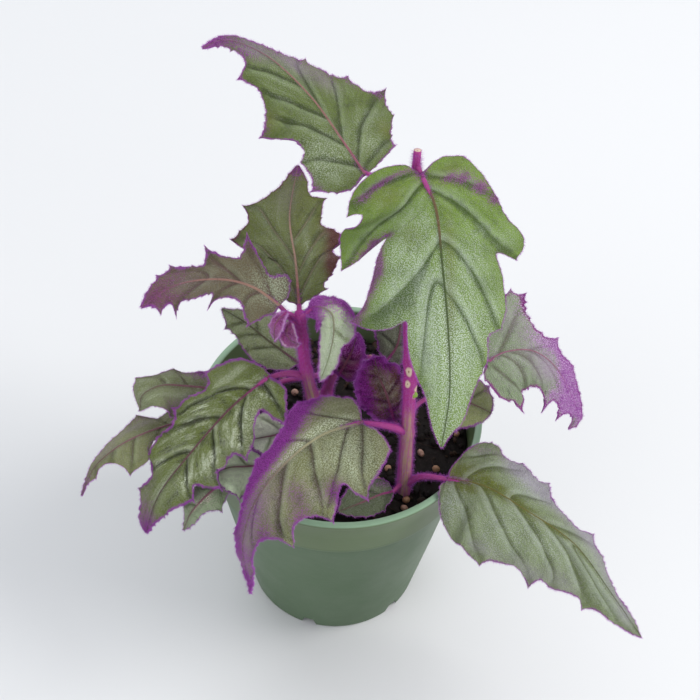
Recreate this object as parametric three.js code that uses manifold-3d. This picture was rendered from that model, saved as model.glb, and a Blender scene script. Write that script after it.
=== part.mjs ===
// Potted purple passion plant: leafy cuttings rooted in a round nursery pot.
// Millimetres, +Z up, +Y to the back, origin at the centre of the pot's base.
import * as THREE from 'three';
import { mergeVertices } from 'three/addons/utils/BufferGeometryUtils.js';
import Module from 'manifold-3d';

const wasm = await Module();
wasm.setup();

// Driving dimensions
const GAP = 0.3;
const POT = {
  height: 96,
  rimRadius: 52,
  lipWidth: 2.6,
  lipHeight: 2.2,
  collarHeight: 20,
  collarTopRadius: 50.6,
  collarFootRadius: 48.6,
  bodyTopRadius: 46.8,
  baseRadius: 33.5,
  wall: 1.3,
  floor: 1.6,
  footRound: 1.2,
  lipRound: 0.6,
  stepHeight: 1,
  cornerOffset: 0.6,
  drainHoles: 6,
  drainRadius: 4,
  drainCircle: 30.5,
  drainDepth: 5,
  drainSides: 10,
  segments: 36,
};
const SOIL = { level: 83, relief: 1.1, rings: 5, edgeDip: 2, edgeShare: 0.97, sideGap: 0.4, stemDepth: 20 };
const BLADE = {
  thickness: 1,
  ribDepth: 0.7,
  tipHalfWidth: 0.4,
  baseHalfWidth: 1,
  veinSlant: 0.8,
  ribStep: 0.35,
  columnsFrom: 18,
  waveLength: 11.5,
  waveReach: 12,
};
const STALK = { sides: 6, steps: 5, endRadius: 0.5, ribShare: 0.1 };
const STEM = { sides: 10, steps: 12 };

// Finishes
const finish = (color, roughness) => new THREE.MeshStandardMaterial({ color, roughness, metalness: 0 });
const potPlastic = finish(0x66806a, 0.45);
const pottingMix = finish(0x17120f, 0.95);
const stemSkin = finish(0x8c2f7e, 0.7);
const velvetLeaf = finish(0x6f7f55, 0.75);
const youngVelvet = finish(0x8a4f96, 0.75);

// Stems: route of the middle, thickness at the foot and at the top
const STEMS = {
  stem_right: {
    route: [
      [24, -26, SOIL.level - SOIL.stemDepth], [24, -26, 84], [23.5, -23, 113],
      [23, -18, 136], [21, -9, 162], [20, 0, 188], [20.5, 6, 215],
    ],
    radius: [2.8, 1.2],
  },
  stem_left: {
    route: [
      [-4, -14, SOIL.level - SOIL.stemDepth], [-4, -14, 84], [-9, -12.5, 113],
      [-12, -11.5, 130], [-13.5, -11, 145], [-14.5, -10, 157],
    ],
    radius: [2.5, 1.7],
  },
  stem_back: {
    route: [
      [-6, 10, SOIL.level - SOIL.stemDepth], [-6, 10, 84], [-4, 10, 100], [0, 9, 116],
    ],
    radius: [2.3, 1.6],
  },
};

// Leaves. Each has the stem that carries it, the route of its stalk and of its midrib,
// the direction that its upper side faces at the base and at the tip, and its two margins.
// A margin is a list of points [along the midrib, out from it], and a third value of 1
// marks a sharp tooth. A half bends down from the midrib by an angle and by a curl per mm.
// The wave is how far the margin rises and falls. Young leaves are more purple.
const LEAVES = {
  // Highest leaf, pointing to the back and left
  leaf_01: {
    stem: 'stem_right', stalk: [[20.2, 3, 198], [13, 9, 199.5]], thick: 1, rows: 24, wave: 1,
    rib: [[5, 12, 199], [-3, 24, 203], [-14, 38, 209], [-29, 49, 216], [-42, 52, 219], [-49, 46, 220]],
    face: [[0.1, -0.5, 0.9], [0.2, -0.3, 1]],
    left: {
      bend: [6, 0.4],
      edge: [[-2, 6], [0, 12], [4, 17, 1], [8, 15], [15, 15], [18, 12], [22, 13], [25, 16, 1],
        [32, 21, 1], [36, 17], [41, 13], [51, 11], [57, 12, 1], [58, 6], [61, 4], [65, 3, 1], [71, 2]],
    },
    right: {
      bend: [6, 0.4],
      edge: [[1, 4], [3, 9], [5, 14, 1], [9, 15], [15, 20, 1], [20, 21], [25, 24, 1], [26, 18],
        [29, 16], [33, 16, 1], [35, 12], [40, 9], [44, 8, 1], [48, 5], [55, 3], [66, 2]],
    },
  },
  // Largest leaf, hanging to the front of the tall stem
  leaf_02: {
    stem: 'stem_right', stalk: [[20.4, 5, 209.5]], thick: 1, rows: 28, wave: 0.8,
    rib: [[22, 1, 210], [27, -3, 200], [30, -13, 186], [33, -27, 170], [34, -44, 159], [32, -58, 150]],
    face: [[0, -0.5, 0.86], [0, -0.75, 0.66]],
    left: {
      bend: [5, 0.5],
      edge: [[-1, 4], [-1, 9], [2, 14], [7, 17], [14, 20, 1], [18, 22], [24, 27], [29, 27], [32, 24, 1],
        [30, 21], [29, 18], [37, 19], [46, 19], [51, 17, 1], [53, 13], [60, 12], [64, 10, 1], [71, 7],
        [79, 5], [84, 2]],
    },
    right: {
      bend: [5, 0.5],
      edge: [[-4, 3], [-6, 7], [-7, 12], [-5, 19], [2, 26, 1], [3, 22], [8, 26], [17, 31], [25, 32],
        [29, 32, 1], [27, 27], [22, 21], [19, 16], [26, 20], [34, 23], [42, 27], [46, 31, 1], [49, 25],
        [49, 18], [47, 13], [52, 13], [61, 12], [71, 8], [82, 4]],
    },
  },
  // Leaf at the top of the left stem, pointing to the back
  leaf_03: {
    stem: 'stem_left', stalk: [[-14.5, -10, 153]], thick: 1.1, rows: 20, wave: 1,
    rib: [[-15, -4, 155], [-17, 12, 159], [-20, 30, 163], [-18, 46, 172]],
    face: [[0, -0.2, 1], [0, -0.3, 1]],
    left: {
      bend: [4, 0.4],
      edge: [[2, 4], [8, 9], [17, 14], [24, 16], [30, 20, 1], [32, 17], [34, 14], [38, 16, 1], [40, 11],
        [45, 5], [51, 2]],
    },
    right: {
      bend: [4, 0.4],
      edge: [[2, 4], [5, 9, 1], [8, 9], [12, 12], [17, 15, 1], [20, 13], [25, 18, 1], [28, 15],
        [32, 11], [38, 11], [44, 11, 1], [44, 6], [49, 4]],
    },
  },
  // Leaf at the top of the left stem, pointing to the left and tilted to the front
  leaf_04: {
    stem: 'stem_left', stalk: [[-14.4, -10.5, 150]], thick: 1.1, rows: 24, wave: 0.8,
    rib: [[-21, -8, 158], [-30, -4, 162], [-41, 0, 161], [-57, 2, 155], [-68, -4, 150]],
    face: [[0, -0.4, 1], [-0.3, -0.4, 1]],
    left: {
      bend: [14, 0.8],
      edge: [[0, 3], [2, 6], [4, 11, 1], [9, 9], [14, 6], [21, 6], [27, 9, 1], [25, 5], [34, 6],
        [40, 6], [45, 9, 1], [44, 5], [49, 5, 1], [50, 2]],
    },
    right: {
      bend: [-10, -0.4],
      edge: [[0, 5], [4, 9], [8, 6], [12, 9], [17, 15, 1], [18, 8], [23, 8], [28, 10, 1], [29, 5],
        [34, 5], [39, 6, 1], [43, 5, 1], [49, 3]],
    },
  },
  // Young leaf hanging over the top of the left stem
  leaf_05: {
    young: true, stem: 'stem_left', stalk: [[-14.2, -10.5, 155]], thick: 0.9, rows: 18, wave: 0.3,
    rib: [[-13, -12.5, 160], [-9, -14, 165], [-4, -18, 166], [-3, -21, 162], [-4, -24, 153],
      [-7, -26, 141]],
    face: [[0, -0.3, 1], [0, -1, 0.2]],
    left: {
      bend: [20, 2],
      edge: [[3, 3], [10, 6], [17, 8], [21, 8], [24, 6, 1], [25, 4], [33, 4], [39, 2]],
    },
    right: {
      bend: [20, 2],
      edge: [[2, 3], [5, 6], [10, 8, 1], [13, 5], [20, 5], [28, 4], [36, 2]],
    },
  },
  // Large leaf over the left of the rim
  leaf_06: {
    stem: 'stem_left', stalk: [[-12, -11.5, 127], [-18, -14, 131]], thick: 1.4, rows: 25, wave: 0.8,
    rib: [[-24, -17, 133], [-36, -23, 124], [-49, -31, 110], [-62, -39, 92], [-67, -44, 76]],
    face: [[-0.2, -0.4, 1], [-0.6, -0.4, 0.7]],
    left: {
      bend: [0, 0],
      edge: [[-1, 3], [-2, 7], [0, 11], [4, 18, 1], [7, 13], [9, 8], [14, 11], [19, 15], [24, 18, 1],
        [26, 14], [30, 12], [33, 14], [35, 13], [38, 18, 1], [42, 14], [45, 10], [49, 13, 1], [56, 10],
        [63, 7], [72, 3]],
    },
    right: {
      bend: [-3, 0],
      edge: [[1, 5], [5, 11], [13, 15], [17, 15, 1], [19, 12], [27, 14], [34, 16, 1], [38, 12],
        [45, 14], [54, 12, 1], [57, 7], [64, 8, 1], [71, 6], [76, 4]],
    },
  },
  // Large leaf over the front of the rim, thick with purple hair
  leaf_07: {
    stem: 'stem_right', stalk: [[23.5, -23, 113], [16, -27, 121]], thick: 1.5, rows: 26, wave: 0.8,
    rib: [[8, -31, 128], [-6, -41, 132], [-18, -52, 129], [-26, -61, 122], [-30, -67, 108],
      [-28, -69, 79]],
    face: [[-0.1, -0.3, 1], [-0.7, -0.5, 0.5]],
    left: {
      bend: [6, 0.4],
      edge: [[-2, 3], [-4, 7], [-5, 12, 1], [-1, 15], [4, 19], [9, 22], [14, 26, 1], [20, 22], [22, 18],
        [28, 20], [31, 22], [37, 25, 1], [39, 20], [43, 17], [49, 16], [55, 18, 1], [56, 12], [60, 7],
        [66, 5], [80, 4]],
    },
    right: {
      bend: [8, 0.6],
      edge: [[-2, 5], [-3, 11], [1, 13], [7, 15], [15, 16, 1], [21, 14], [25, 11], [32, 9], [38, 9, 1],
        [47, 6], [57, 4], [66, 5, 1], [75, 4], [84, 2]],
    },
  },
  // Dark leaf low behind the left stem
  leaf_08: {
    stem: 'stem_left', stalk: [[-10, -12, 116], [-12.5, -7, 120]], thick: 1, rows: 18, wave: 0.6,
    rib: [[-15, -2, 123], [-26, 6, 125], [-35, 11, 129], [-43, 14, 132]],
    face: [[0, -0.3, 1], [-0.3, -0.3, 1]],
    left: { bend: [3, 0.4], edge: [[1, 4], [5, 7], [12, 9], [18, 8], [24, 6], [29, 5, 1], [31, 3]] },
    right: { bend: [3, 0.4], edge: [[1, 5], [5, 9], [11, 11], [17, 10], [24, 6, 1], [28, 3]] },
  },
  // Leaf at the left, low, with a blunt turned down tip
  leaf_09: {
    stem: 'stem_back', stalk: [[-3.5, 10, 104], [-18, 3, 108]], thick: 1.1, rows: 20, wave: 0.6,
    rib: [[-34, -5, 110], [-45, -6, 112], [-55, -7, 114], [-63, -9, 116], [-69, -13, 115],
      [-70, -16, 110]],
    face: [[0, -0.3, 1], [-0.8, -0.4, 0.6]],
    left: { bend: [5, 0.5], edge: [[1, 5], [6, 8], [14, 10], [23, 12, 1], [28, 11], [35, 9], [40, 5]] },
    right: {
      bend: [5, 0.5],
      edge: [[1, 4], [8, 7], [16, 6], [20, 5], [25, 6, 1], [30, 5], [35, 9, 1], [40, 4]],
    },
  },
  // Long narrow leaf at the far left
  leaf_10: {
    stem: 'stem_left', stalk: [[-4.5, -14, 92], [-20, -12, 98]], thick: 1.1, rows: 20, wave: 0.5,
    rib: [[-37, -8, 100], [-48, -9, 100], [-59, -12.5, 99.5], [-70, -19.5, 101], [-78, -26, 101],
      [-85, -32, 97], [-90, -36, 86]],
    face: [[-0.1, -0.3, 1], [-0.7, -0.4, 0.7]],
    left: {
      bend: [6, 0.6],
      edge: [[2, 4], [11, 6], [20, 5], [28, 4], [35, 5], [38, 10], [42, 11], [48, 12, 1], [48, 8],
        [50, 4], [54, 2], [58, 3, 1], [63, 1]],
    },
    right: {
      bend: [5, 0.4],
      edge: [[2, 4], [10, 7], [20, 7], [27, 4], [32, 9, 1], [38, 6], [46, 4], [56, 2]],
    },
  },
  // Small leaf low at the left, over the rim
  leaf_11: {
    stem: 'stem_left', stalk: [[-4.2, -14, 88], [-18, -25, 91], [-30, -34, 97]],
    thick: 0.9, rows: 16, wave: 0.4,
    rib: [[-38, -38, 102], [-45, -43, 98], [-50, -45, 91], [-53, -46, 82]],
    face: [[0, -0.4, 1], [-0.3, -0.5, 0.8]],
    left: { bend: [4, 0.4], edge: [[0, 3], [4, 5], [8, 7, 1], [13, 4], [21, 3]] },
    right: { bend: [4, 0.4], edge: [[1, 3], [6, 5], [12, 5], [18, 4, 1], [22, 2]] },
  },
  // Grey green leaf low between the two large leaves, its lower lobe pointing down
  leaf_12: {
    stem: 'stem_left', stalk: [[-5, -13.9, 94], [-15, -24, 98]], thick: 1, rows: 16, wave: 0.4,
    rib: [[-26, -30, 100], [-32, -33, 103], [-37, -36, 106], [-41, -38, 106]],
    face: [[0, -0.5, 0.9], [-0.4, -0.5, 0.8]],
    left: { bend: [4, 0.4], edge: [[1, 5], [6, 8], [12, 12, 1], [17, 8], [20, 3]] },
    right: { bend: [4, 0.4], edge: [[1, 4], [6, 7], [12, 7], [17, 4]] },
  },
  // Small lobed leaf above it
  leaf_13: {
    stem: 'stem_left', stalk: [[-7.5, -13, 104], [-11, -17, 108]], thick: 0.9, rows: 14, wave: 0.4,
    rib: [[-16, -22, 110], [-22, -25, 111], [-26, -27, 112], [-30, -29, 113]],
    face: [[0, -0.4, 1], [-0.4, -0.5, 0.8]],
    left: { bend: [4, 0.4], edge: [[1, 3], [7, 6], [13, 6, 1], [16, 3]] },
    right: { bend: [4, 0.4], edge: [[0, 5], [5, 9], [11, 9, 1], [14, 5]] },
  },
  // Arched leaf to the right, with hooked teeth
  leaf_14: {
    stem: 'stem_right', stalk: [[23, -18, 134], [36, -17, 139]], thick: 1.3, rows: 24, wave: 0.6,
    rib: [[48, -14, 141], [55, -9, 141], [64, -6, 139], [72, -6, 133], [79, -9, 123], [83, -14, 114],
      [80, -18, 112]],
    face: [[0.1, -0.3, 1], [0.8, -0.5, 0.4]],
    left: {
      bend: [6, 0.3],
      edge: [[2, 4], [6, 8], [11, 16], [15, 22, 1], [18, 21, 1], [18, 14], [20, 9], [23, 7], [27, 9, 1],
        [31, 6], [37, 7], [43, 5], [52, 3]],
    },
    right: {
      bend: [4, 0.2],
      edge: [[-3, 4], [-3, 8], [-2, 13], [1, 16], [1, 20, 1], [8, 15], [19, 13], [31, 10], [36, 11],
        [39, 14, 1], [39, 9], [43, 7], [47, 10, 1], [48, 5], [53, 3]],
    },
  },
  // Large smooth leaf over the right of the rim
  leaf_15: {
    stem: 'stem_right', stalk: [[24, -26, 87], [30, -29, 96]], thick: 1.4, rows: 27, wave: 0.6,
    rib: [[38, -32, 100], [51, -38, 104], [65, -46, 102], [81, -56, 98], [95, -66, 84], [108, -72, 66]],
    face: [[0.1, -0.3, 1], [0.6, -0.5, 0.6]],
    left: {
      bend: [12, 0.3],
      edge: [[0, 4], [1, 9], [3, 15], [7, 19], [12, 18], [15, 15], [21, 16, 1], [28, 14], [32, 15, 1],
        [36, 10], [43, 7], [49, 6], [54, 9, 1], [56, 7], [62, 6, 1], [67, 4], [75, 2], [86, 2]],
    },
    right: {
      bend: [4, 0.3],
      edge: [[-1, 3], [0, 8], [3, 15], [9, 21], [19, 23], [28, 25, 1], [30, 22], [34, 20], [38, 19],
        [43, 20], [47, 22, 1], [49, 18], [55, 17], [62, 13], [66, 11], [69, 12, 1], [72, 9], [81, 6],
        [90, 3]],
    },
  },
  // Small olive leaf behind the tip of the largest one
  leaf_16: {
    stem: 'stem_right', stalk: [[23.3, -21, 121], [29, -14, 120]], thick: 0.9, rows: 14, wave: 0.4,
    rib: [[35, -10, 118], [42, -8, 114], [48, -8, 111], [54, -8, 107]],
    face: [[0, -0.3, 1], [0.3, -0.4, 0.9]],
    left: { bend: [4, 0.4], edge: [[2, 4], [7, 9], [14, 10], [19, 9, 1], [22, 4]] },
    right: { bend: [4, 0.4], edge: [[1, 4], [4, 8], [9, 11, 1], [15, 8], [20, 4]] },
  },
  // Crinkled young leaf, cupped, between the two tall stems
  leaf_17: {
    young: true, stem: 'stem_right', stalk: [[23.6, -23.5, 110]], thick: 0.9, rows: 16, wave: 0.8,
    rib: [[19, -19, 114], [16, -16.5, 124], [12, -13.5, 134], [11, -12, 140]],
    face: [[0, -1, 0.5], [0, -1, 0.6]],
    left: { bend: [-8, -1], edge: [[2, 5], [7, 8], [13, 10], [19, 9], [24, 6, 1], [27, 3]] },
    right: { bend: [-8, -1], edge: [[1, 4], [6, 7], [12, 8], [18, 8, 1], [23, 7], [27, 3]] },
  },
  // Young leaf in the shade between the stems
  leaf_18: {
    stem: 'stem_back', stalk: [[-1.5, 9.5, 110]], thick: 0.8, rows: 14, wave: 0.4,
    rib: [[-1, 4, 110], [1, 3, 117], [3.5, 4, 124], [5, 6, 131]],
    face: [[-0.3, -1, 0.3], [-0.3, -1, 0.3]],
    left: { bend: [-6, -0.6], edge: [[2, 5], [8, 7], [15, 6, 1], [20, 3]] },
    right: { bend: [-6, -0.6], edge: [[2, 5], [8, 6], [15, 5, 1], [20, 3]] },
  },
  // Grey green leaf behind the tall stem
  leaf_19: {
    stem: 'stem_back', stalk: [[-0.8, 9.2, 113], [8, 9, 115]], thick: 0.9, rows: 16, wave: 0.4,
    rib: [[16, 6, 117], [19, 7, 123], [20, 9, 130], [19, 12, 139]],
    face: [[0, -0.8, 0.6], [0, -0.8, 0.6]],
    left: { bend: [3, 0.3], edge: [[1, 4], [8, 8], [14, 9, 1], [20, 5]] },
    right: { bend: [3, 0.3], edge: [[1, 4], [8, 8], [14, 8, 1], [20, 4]] },
  },
  // Leaf lying over the soil at the front
  leaf_20: {
    stem: 'stem_right', stalk: [[24, -26, 90]], thick: 1, rows: 16, wave: 0.3,
    rib: [[20, -30, 88], [16, -31, 87.5], [9, -35, 87.5], [1, -40, 88.5]],
    face: [[0, -0.1, 1], [0, -0.1, 1]],
    left: { bend: [2, 0.2], edge: [[1, 3], [6, 6, 1], [13, 6], [19, 3]] },
    right: { bend: [2, 0.2], edge: [[1, 4], [6, 8], [12, 8, 1], [18, 4]] },
  },
  // Two very young leaves folded round the growing tip of the left stem
  leaf_21: {
    young: true, stem: 'stem_left', stalk: [[-14.4, -10.1, 154.5]], thick: 0.7, rows: 10, wave: 0,
    rib: [[-18.5, -12, 159.5], [-21, -14, 158.5], [-22.5, -16, 156], [-22.5, -17.5, 151]],
    face: [[-0.3, -0.4, 1], [-0.6, -0.8, 0.1]],
    left: { bend: [20, 2], edge: [[2, 2], [6, 3], [10, 2]] },
    right: { bend: [20, 2], edge: [[2, 2], [6, 3], [10, 2]] },
  },
  leaf_22: {
    young: true, stem: 'stem_left', stalk: [[-14.3, -10.3, 152]], thick: 0.7, rows: 10, wave: 0,
    rib: [[-17, -13.5, 156], [-18.5, -15.5, 153.5], [-17, -16.5, 150.5], [-14, -17, 149]],
    face: [[-0.3, -0.8, 0.4], [0, -0.9, -0.3]],
    left: { bend: [-10, -2], edge: [[2, 3], [6, 4], [10, 2]] },
    right: { bend: [-10, -2], edge: [[2, 2], [6, 3], [10, 2]] },
  },
  // Leaf behind the tall stem, hidden from the front
  leaf_23: {
    stem: 'stem_right', stalk: [[21, -9, 161], [24, -2, 160]], thick: 1, rows: 18, wave: 0.8,
    rib: [[28, 6, 158], [36, 19, 161], [42, 31, 157], [45, 41, 149]],
    face: [[0.1, -0.1, 1], [0.4, 0.5, 0.8]],
    left: {
      bend: [5, 0.5],
      edge: [[1, 5], [7, 11], [14, 14, 1], [17, 11], [24, 12, 1], [27, 8], [35, 6, 1], [40, 2]],
    },
    right: {
      bend: [5, 0.5],
      edge: [[1, 5], [7, 11], [14, 14, 1], [17, 11], [24, 12, 1], [27, 8], [35, 6, 1], [40, 2]],
    },
  },
};

// Closed mesh with shared corners as a solid that can be joined and cut
function toSolid(geometry) {
  const bare = geometry.clone();
  bare.deleteAttribute('normal');
  bare.deleteAttribute('uv');
  const merged = mergeVertices(bare, 1e-4);
  return new wasm.Manifold(new wasm.Mesh({
    numProp: 3,
    vertProperties: new Float32Array(merged.attributes.position.array),
    triVerts: new Uint32Array(merged.index.array),
  }));
}

function toGeometry(solid) {
  const { numProp, vertProperties, triVerts } = solid.getMesh();
  const geometry = new THREE.BufferGeometry();
  geometry.setAttribute('position', new THREE.BufferAttribute(vertProperties, numProp));
  geometry.setIndex(new THREE.BufferAttribute(triVerts, 1));
  geometry.computeVertexNormals();
  return geometry;
}

function indexedGeometry(points, triangles) {
  const geometry = new THREE.BufferGeometry();
  const coordinates = points.flatMap((point) => point.toArray());
  geometry.setAttribute('position', new THREE.Float32BufferAttribute(coordinates, 3));
  geometry.setIndex(triangles.flat());
  return geometry;
}

const vector = (p) => new THREE.Vector3(...p);

// Round limb along a route, thinning evenly from the first radius to the last
function limb(route, [footRadius, topRadius], steps, sides) {
  const curve = new THREE.CatmullRomCurve3(route);
  const frames = curve.computeFrenetFrames(steps, false);
  const points = [];
  const triangles = [];
  for (let i = 0; i <= steps; i++) {
    const centre = curve.getPointAt(i / steps);
    const radius = THREE.MathUtils.lerp(footRadius, topRadius, i / steps);
    for (let j = 0; j < sides; j++) {
      const angle = (2 * Math.PI * j) / sides;
      points.push(centre.clone()
        .addScaledVector(frames.normals[i], radius * Math.cos(angle))
        .addScaledVector(frames.binormals[i], radius * Math.sin(angle)));
    }
  }
  for (let i = 0; i < steps; i++) {
    for (let j = 0; j < sides; j++) {
      const a = i * sides + j;
      const b = i * sides + ((j + 1) % sides);
      triangles.push([a, b, b + sides], [a, b + sides, a + sides]);
    }
  }
  const last = steps * sides;
  for (let j = 1; j < sides - 1; j++) {
    triangles.push([0, j + 1, j], [last, last + j, last + j + 1]);
  }
  return toSolid(indexedGeometry(points, triangles));
}

// Inner wall of the pot from its floor up to the lip
const collarFoot = POT.height - POT.collarHeight;
const lipFoot = POT.height - POT.lipHeight;
const innerWall = {
  floorEdge: [POT.baseRadius - POT.wall - POT.footRound, POT.floor],
  foot: [POT.baseRadius - POT.wall, POT.floor + POT.footRound],
  shoulder: [POT.bodyTopRadius - POT.wall, collarFoot - POT.stepHeight - POT.cornerOffset],
  collarFoot: [POT.collarFootRadius - POT.wall, collarFoot + POT.cornerOffset],
  collarTop: [POT.collarTopRadius - POT.wall, lipFoot - POT.cornerOffset],
};

// Pot: turned wall with a collar and a rolled lip, and drain holes round the foot
function buildPot() {
  const innerLip = POT.rimRadius - POT.lipWidth;
  const { floorEdge, foot, shoulder, collarFoot: collarInside, collarTop } = innerWall;
  const profile = [
    [0, 0], [POT.baseRadius - POT.footRound, 0], [POT.baseRadius, POT.footRound],
    [POT.bodyTopRadius, collarFoot - POT.stepHeight], [POT.collarFootRadius, collarFoot],
    [POT.collarTopRadius, lipFoot], [POT.rimRadius, lipFoot + POT.lipRound],
    [POT.rimRadius, POT.height - POT.lipRound], [POT.rimRadius - POT.lipRound, POT.height],
    [innerLip + POT.lipRound, POT.height], [innerLip, POT.height - POT.lipRound],
    collarTop, collarInside, shoulder, foot, floorEdge, [0, POT.floor],
  ].map(([r, z]) => new THREE.Vector2(r, z));
  const turned = new THREE.LatheGeometry(profile, POT.segments);
  turned.rotateX(Math.PI / 2);
  let pot = toSolid(turned);
  for (let i = 0; i < POT.drainHoles; i++) {
    const angle = (2 * Math.PI * (i + 0.25)) / POT.drainHoles;
    const hole = new THREE.CylinderGeometry(
      POT.drainRadius, POT.drainRadius, 2 * POT.drainDepth, POT.drainSides,
    );
    hole.rotateX(Math.PI / 2);
    hole.translate(POT.drainCircle * Math.cos(angle), POT.drainCircle * Math.sin(angle), 0);
    pot = pot.subtract(toSolid(hole));
  }
  return pot;
}

// Height of the crumbly soil over a place in the pot
function soilHeight(x, y) {
  const broad = Math.sin(0.16 * x + 1.1) * Math.cos(0.19 * y - 0.4);
  const crumbs = Math.sin(0.83 * x - 0.61 * y) * Math.cos(0.57 * x + 0.92 * y + 0.8);
  return SOIL.level + SOIL.relief * (0.5 * broad + 0.5 * crumbs);
}

// Potting mix: fills the pot to a little under the collar's middle, with a hole for each stem
function buildSoil(stemHoles) {
  const inside = ([r, z], lift) => [r - SOIL.sideGap, z + lift];
  const edgeLevel = SOIL.level - SOIL.edgeDip;
  const rise = (edgeLevel - innerWall.collarFoot[1]) / (innerWall.collarTop[1] - innerWall.collarFoot[1]);
  const topRadius = THREE.MathUtils.lerp(innerWall.collarFoot[0], innerWall.collarTop[0], rise);
  const rings = [
    inside(innerWall.floorEdge, GAP), inside(innerWall.foot, GAP), inside(innerWall.shoulder, 0),
    inside(innerWall.collarFoot, GAP), inside([topRadius, edgeLevel], 0),
  ];
  for (let i = 0; i < SOIL.rings; i++) {
    rings.push([topRadius * (SOIL.edgeShare - i / SOIL.rings), null]);
  }
  const points = [];
  const triangles = [];
  const count = POT.segments;
  rings.forEach(([r, z]) => {
    for (let j = 0; j < count; j++) {
      const x = r * Math.cos((2 * Math.PI * j) / count);
      const y = r * Math.sin((2 * Math.PI * j) / count);
      points.push(new THREE.Vector3(x, y, z ?? soilHeight(x, y)));
    }
  });
  for (let i = 0; i < rings.length - 1; i++) {
    for (let j = 0; j < count; j++) {
      const a = i * count + j;
      const b = i * count + ((j + 1) % count);
      triangles.push([a, b, b + count], [a, b + count, a + count]);
    }
  }
  const foot = points.push(new THREE.Vector3(0, 0, POT.floor + GAP)) - 1;
  const crown = points.push(new THREE.Vector3(0, 0, soilHeight(0, 0))) - 1;
  const top = (rings.length - 1) * count;
  for (let j = 0; j < count; j++) {
    const next = (j + 1) % count;
    triangles.push([foot, next, j], [crown, top + j, top + next]);
  }
  return stemHoles.reduce((soil, hole) => soil.subtract(hole), toSolid(indexedGeometry(points, triangles)));
}

// Margin from the stalk to the tip, as the given number of steps with a step at every tooth
function marginPoints(edge, length, rows) {
  const corners = [[0, BLADE.baseHalfWidth, 1], ...edge, [length, BLADE.tipHalfWidth, 1]];
  const stretches = [];
  let stretch = [];
  corners.forEach(([along, out, sharp], i) => {
    stretch.push(new THREE.Vector3(along, out, 0));
    if (sharp && i > 0) {
      stretches.push(new THREE.CatmullRomCurve3(stretch));
      stretch = [new THREE.Vector3(along, out, 0)];
    }
  });
  const steps = stretches.map(() => 1);
  const stepLength = (i) => stretches[i].getLength() / steps[i];
  for (let k = stretches.length; k < rows; k++) {
    const longest = steps.reduce((best, _, i) => (stepLength(i) > stepLength(best) ? i : best), 0);
    steps[longest] += 1;
  }
  const points = [stretches[0].getPointAt(0)];
  stretches.forEach((curve, i) => {
    for (let j = 1; j <= steps[i]; j++) points.push(curve.getPointAt(j / steps[i]));
  });
  return points;
}

// Blade: rows of places across the leaf, on the upper side and one thickness below it
function buildBlade(leaf, midrib) {
  const length = midrib.getLength();
  const [faceBase, faceTip] = leaf.face.map((f) => vector(f).normalize());

  // A place on the leaf: along the midrib, out to its left (or right below zero), and below the upper side
  function place(along, sideways, depth) {
    const side = sideways < 0 ? -1 : 1;
    const out = Math.abs(sideways);
    const share = THREE.MathUtils.clamp(along / length, 0, 1);
    const tangent = midrib.getTangentAt(share);
    const up = faceBase.clone().lerp(faceTip, share);
    up.addScaledVector(tangent, -up.dot(tangent)).normalize();
    const across = up.clone().cross(tangent).multiplyScalar(side);
    const half = side > 0 ? leaf.left : leaf.right;
    const start = THREE.MathUtils.degToRad(-half.bend[0]);
    const curl = THREE.MathUtils.degToRad(-half.bend[1]) || 1e-6;
    const angle = start + curl * out;
    const wave = leaf.wave * Math.min(1, out / BLADE.waveReach) ** 2
      * Math.sin((2 * Math.PI * along) / BLADE.waveLength + side);
    return midrib.getPointAt(share)
      .addScaledVector(tangent, along - share * length)
      .addScaledVector(across, (Math.sin(angle) - Math.sin(start)) / curl + depth * Math.sin(angle))
      .addScaledVector(up, (Math.cos(start) - Math.cos(angle)) / curl + wave - depth * Math.cos(angle));
  }

  const [left, right] = [leaf.left, leaf.right].map((half) => marginPoints(half.edge, length, leaf.rows));
  const shares = leaf.rows >= BLADE.columnsFrom ? [1, 0.5, 0, -0.5, -1] : [1, 0, -1];
  const points = [];
  let station = 0;
  for (let k = 0; k <= leaf.rows; k++) {
    const wished = (left[k].x + right[k].x - BLADE.veinSlant * (left[k].y + right[k].y)) / 2;
    const latest = length - (leaf.rows - k) * BLADE.ribStep;
    station = k === 0 ? 0 : Math.min(latest, Math.max(station + BLADE.ribStep, wished));
    for (const layer of [0, 1]) {
      for (const share of shares) {
        const margin = share > 0 ? left[k] : right[k];
        const along = THREE.MathUtils.lerp(station, margin.x, Math.abs(share));
        const ridge = share === 0 ? BLADE.ribDepth * (1 - k / leaf.rows) : 0;
        points.push(place(along, margin.y * share, layer * (BLADE.thickness + ridge)));
      }
    }
  }

  const columns = shares.length;
  const triangles = [];
  const corner = (row, layer, column) => (2 * row + layer) * columns + column;
  const quad = (a, b, c, d) => triangles.push([a, b, c], [a, c, d]);
  for (let k = 0; k < leaf.rows; k++) {
    for (let j = 0; j < columns - 1; j++) {
      quad(corner(k, 0, j), corner(k, 0, j + 1), corner(k + 1, 0, j + 1), corner(k + 1, 0, j));
      triangles.push([corner(k, 1, j), corner(k + 1, 1, j + 1), corner(k, 1, j + 1)]);
      triangles.push([corner(k, 1, j), corner(k + 1, 1, j), corner(k + 1, 1, j + 1)]);
    }
    quad(corner(k, 0, 0), corner(k + 1, 0, 0), corner(k + 1, 1, 0), corner(k, 1, 0));
    const edge = columns - 1;
    quad(corner(k, 0, edge), corner(k, 1, edge), corner(k + 1, 1, edge), corner(k + 1, 0, edge));
  }
  const tip = leaf.rows;
  for (let j = 0; j < columns - 1; j++) {
    quad(corner(0, 0, j), corner(0, 1, j), corner(0, 1, j + 1), corner(0, 0, j + 1));
    quad(corner(tip, 0, j), corner(tip, 0, j + 1), corner(tip, 1, j + 1), corner(tip, 1, j));
  }
  return { solid: toSolid(indexedGeometry(points, triangles)), place };
}

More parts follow.
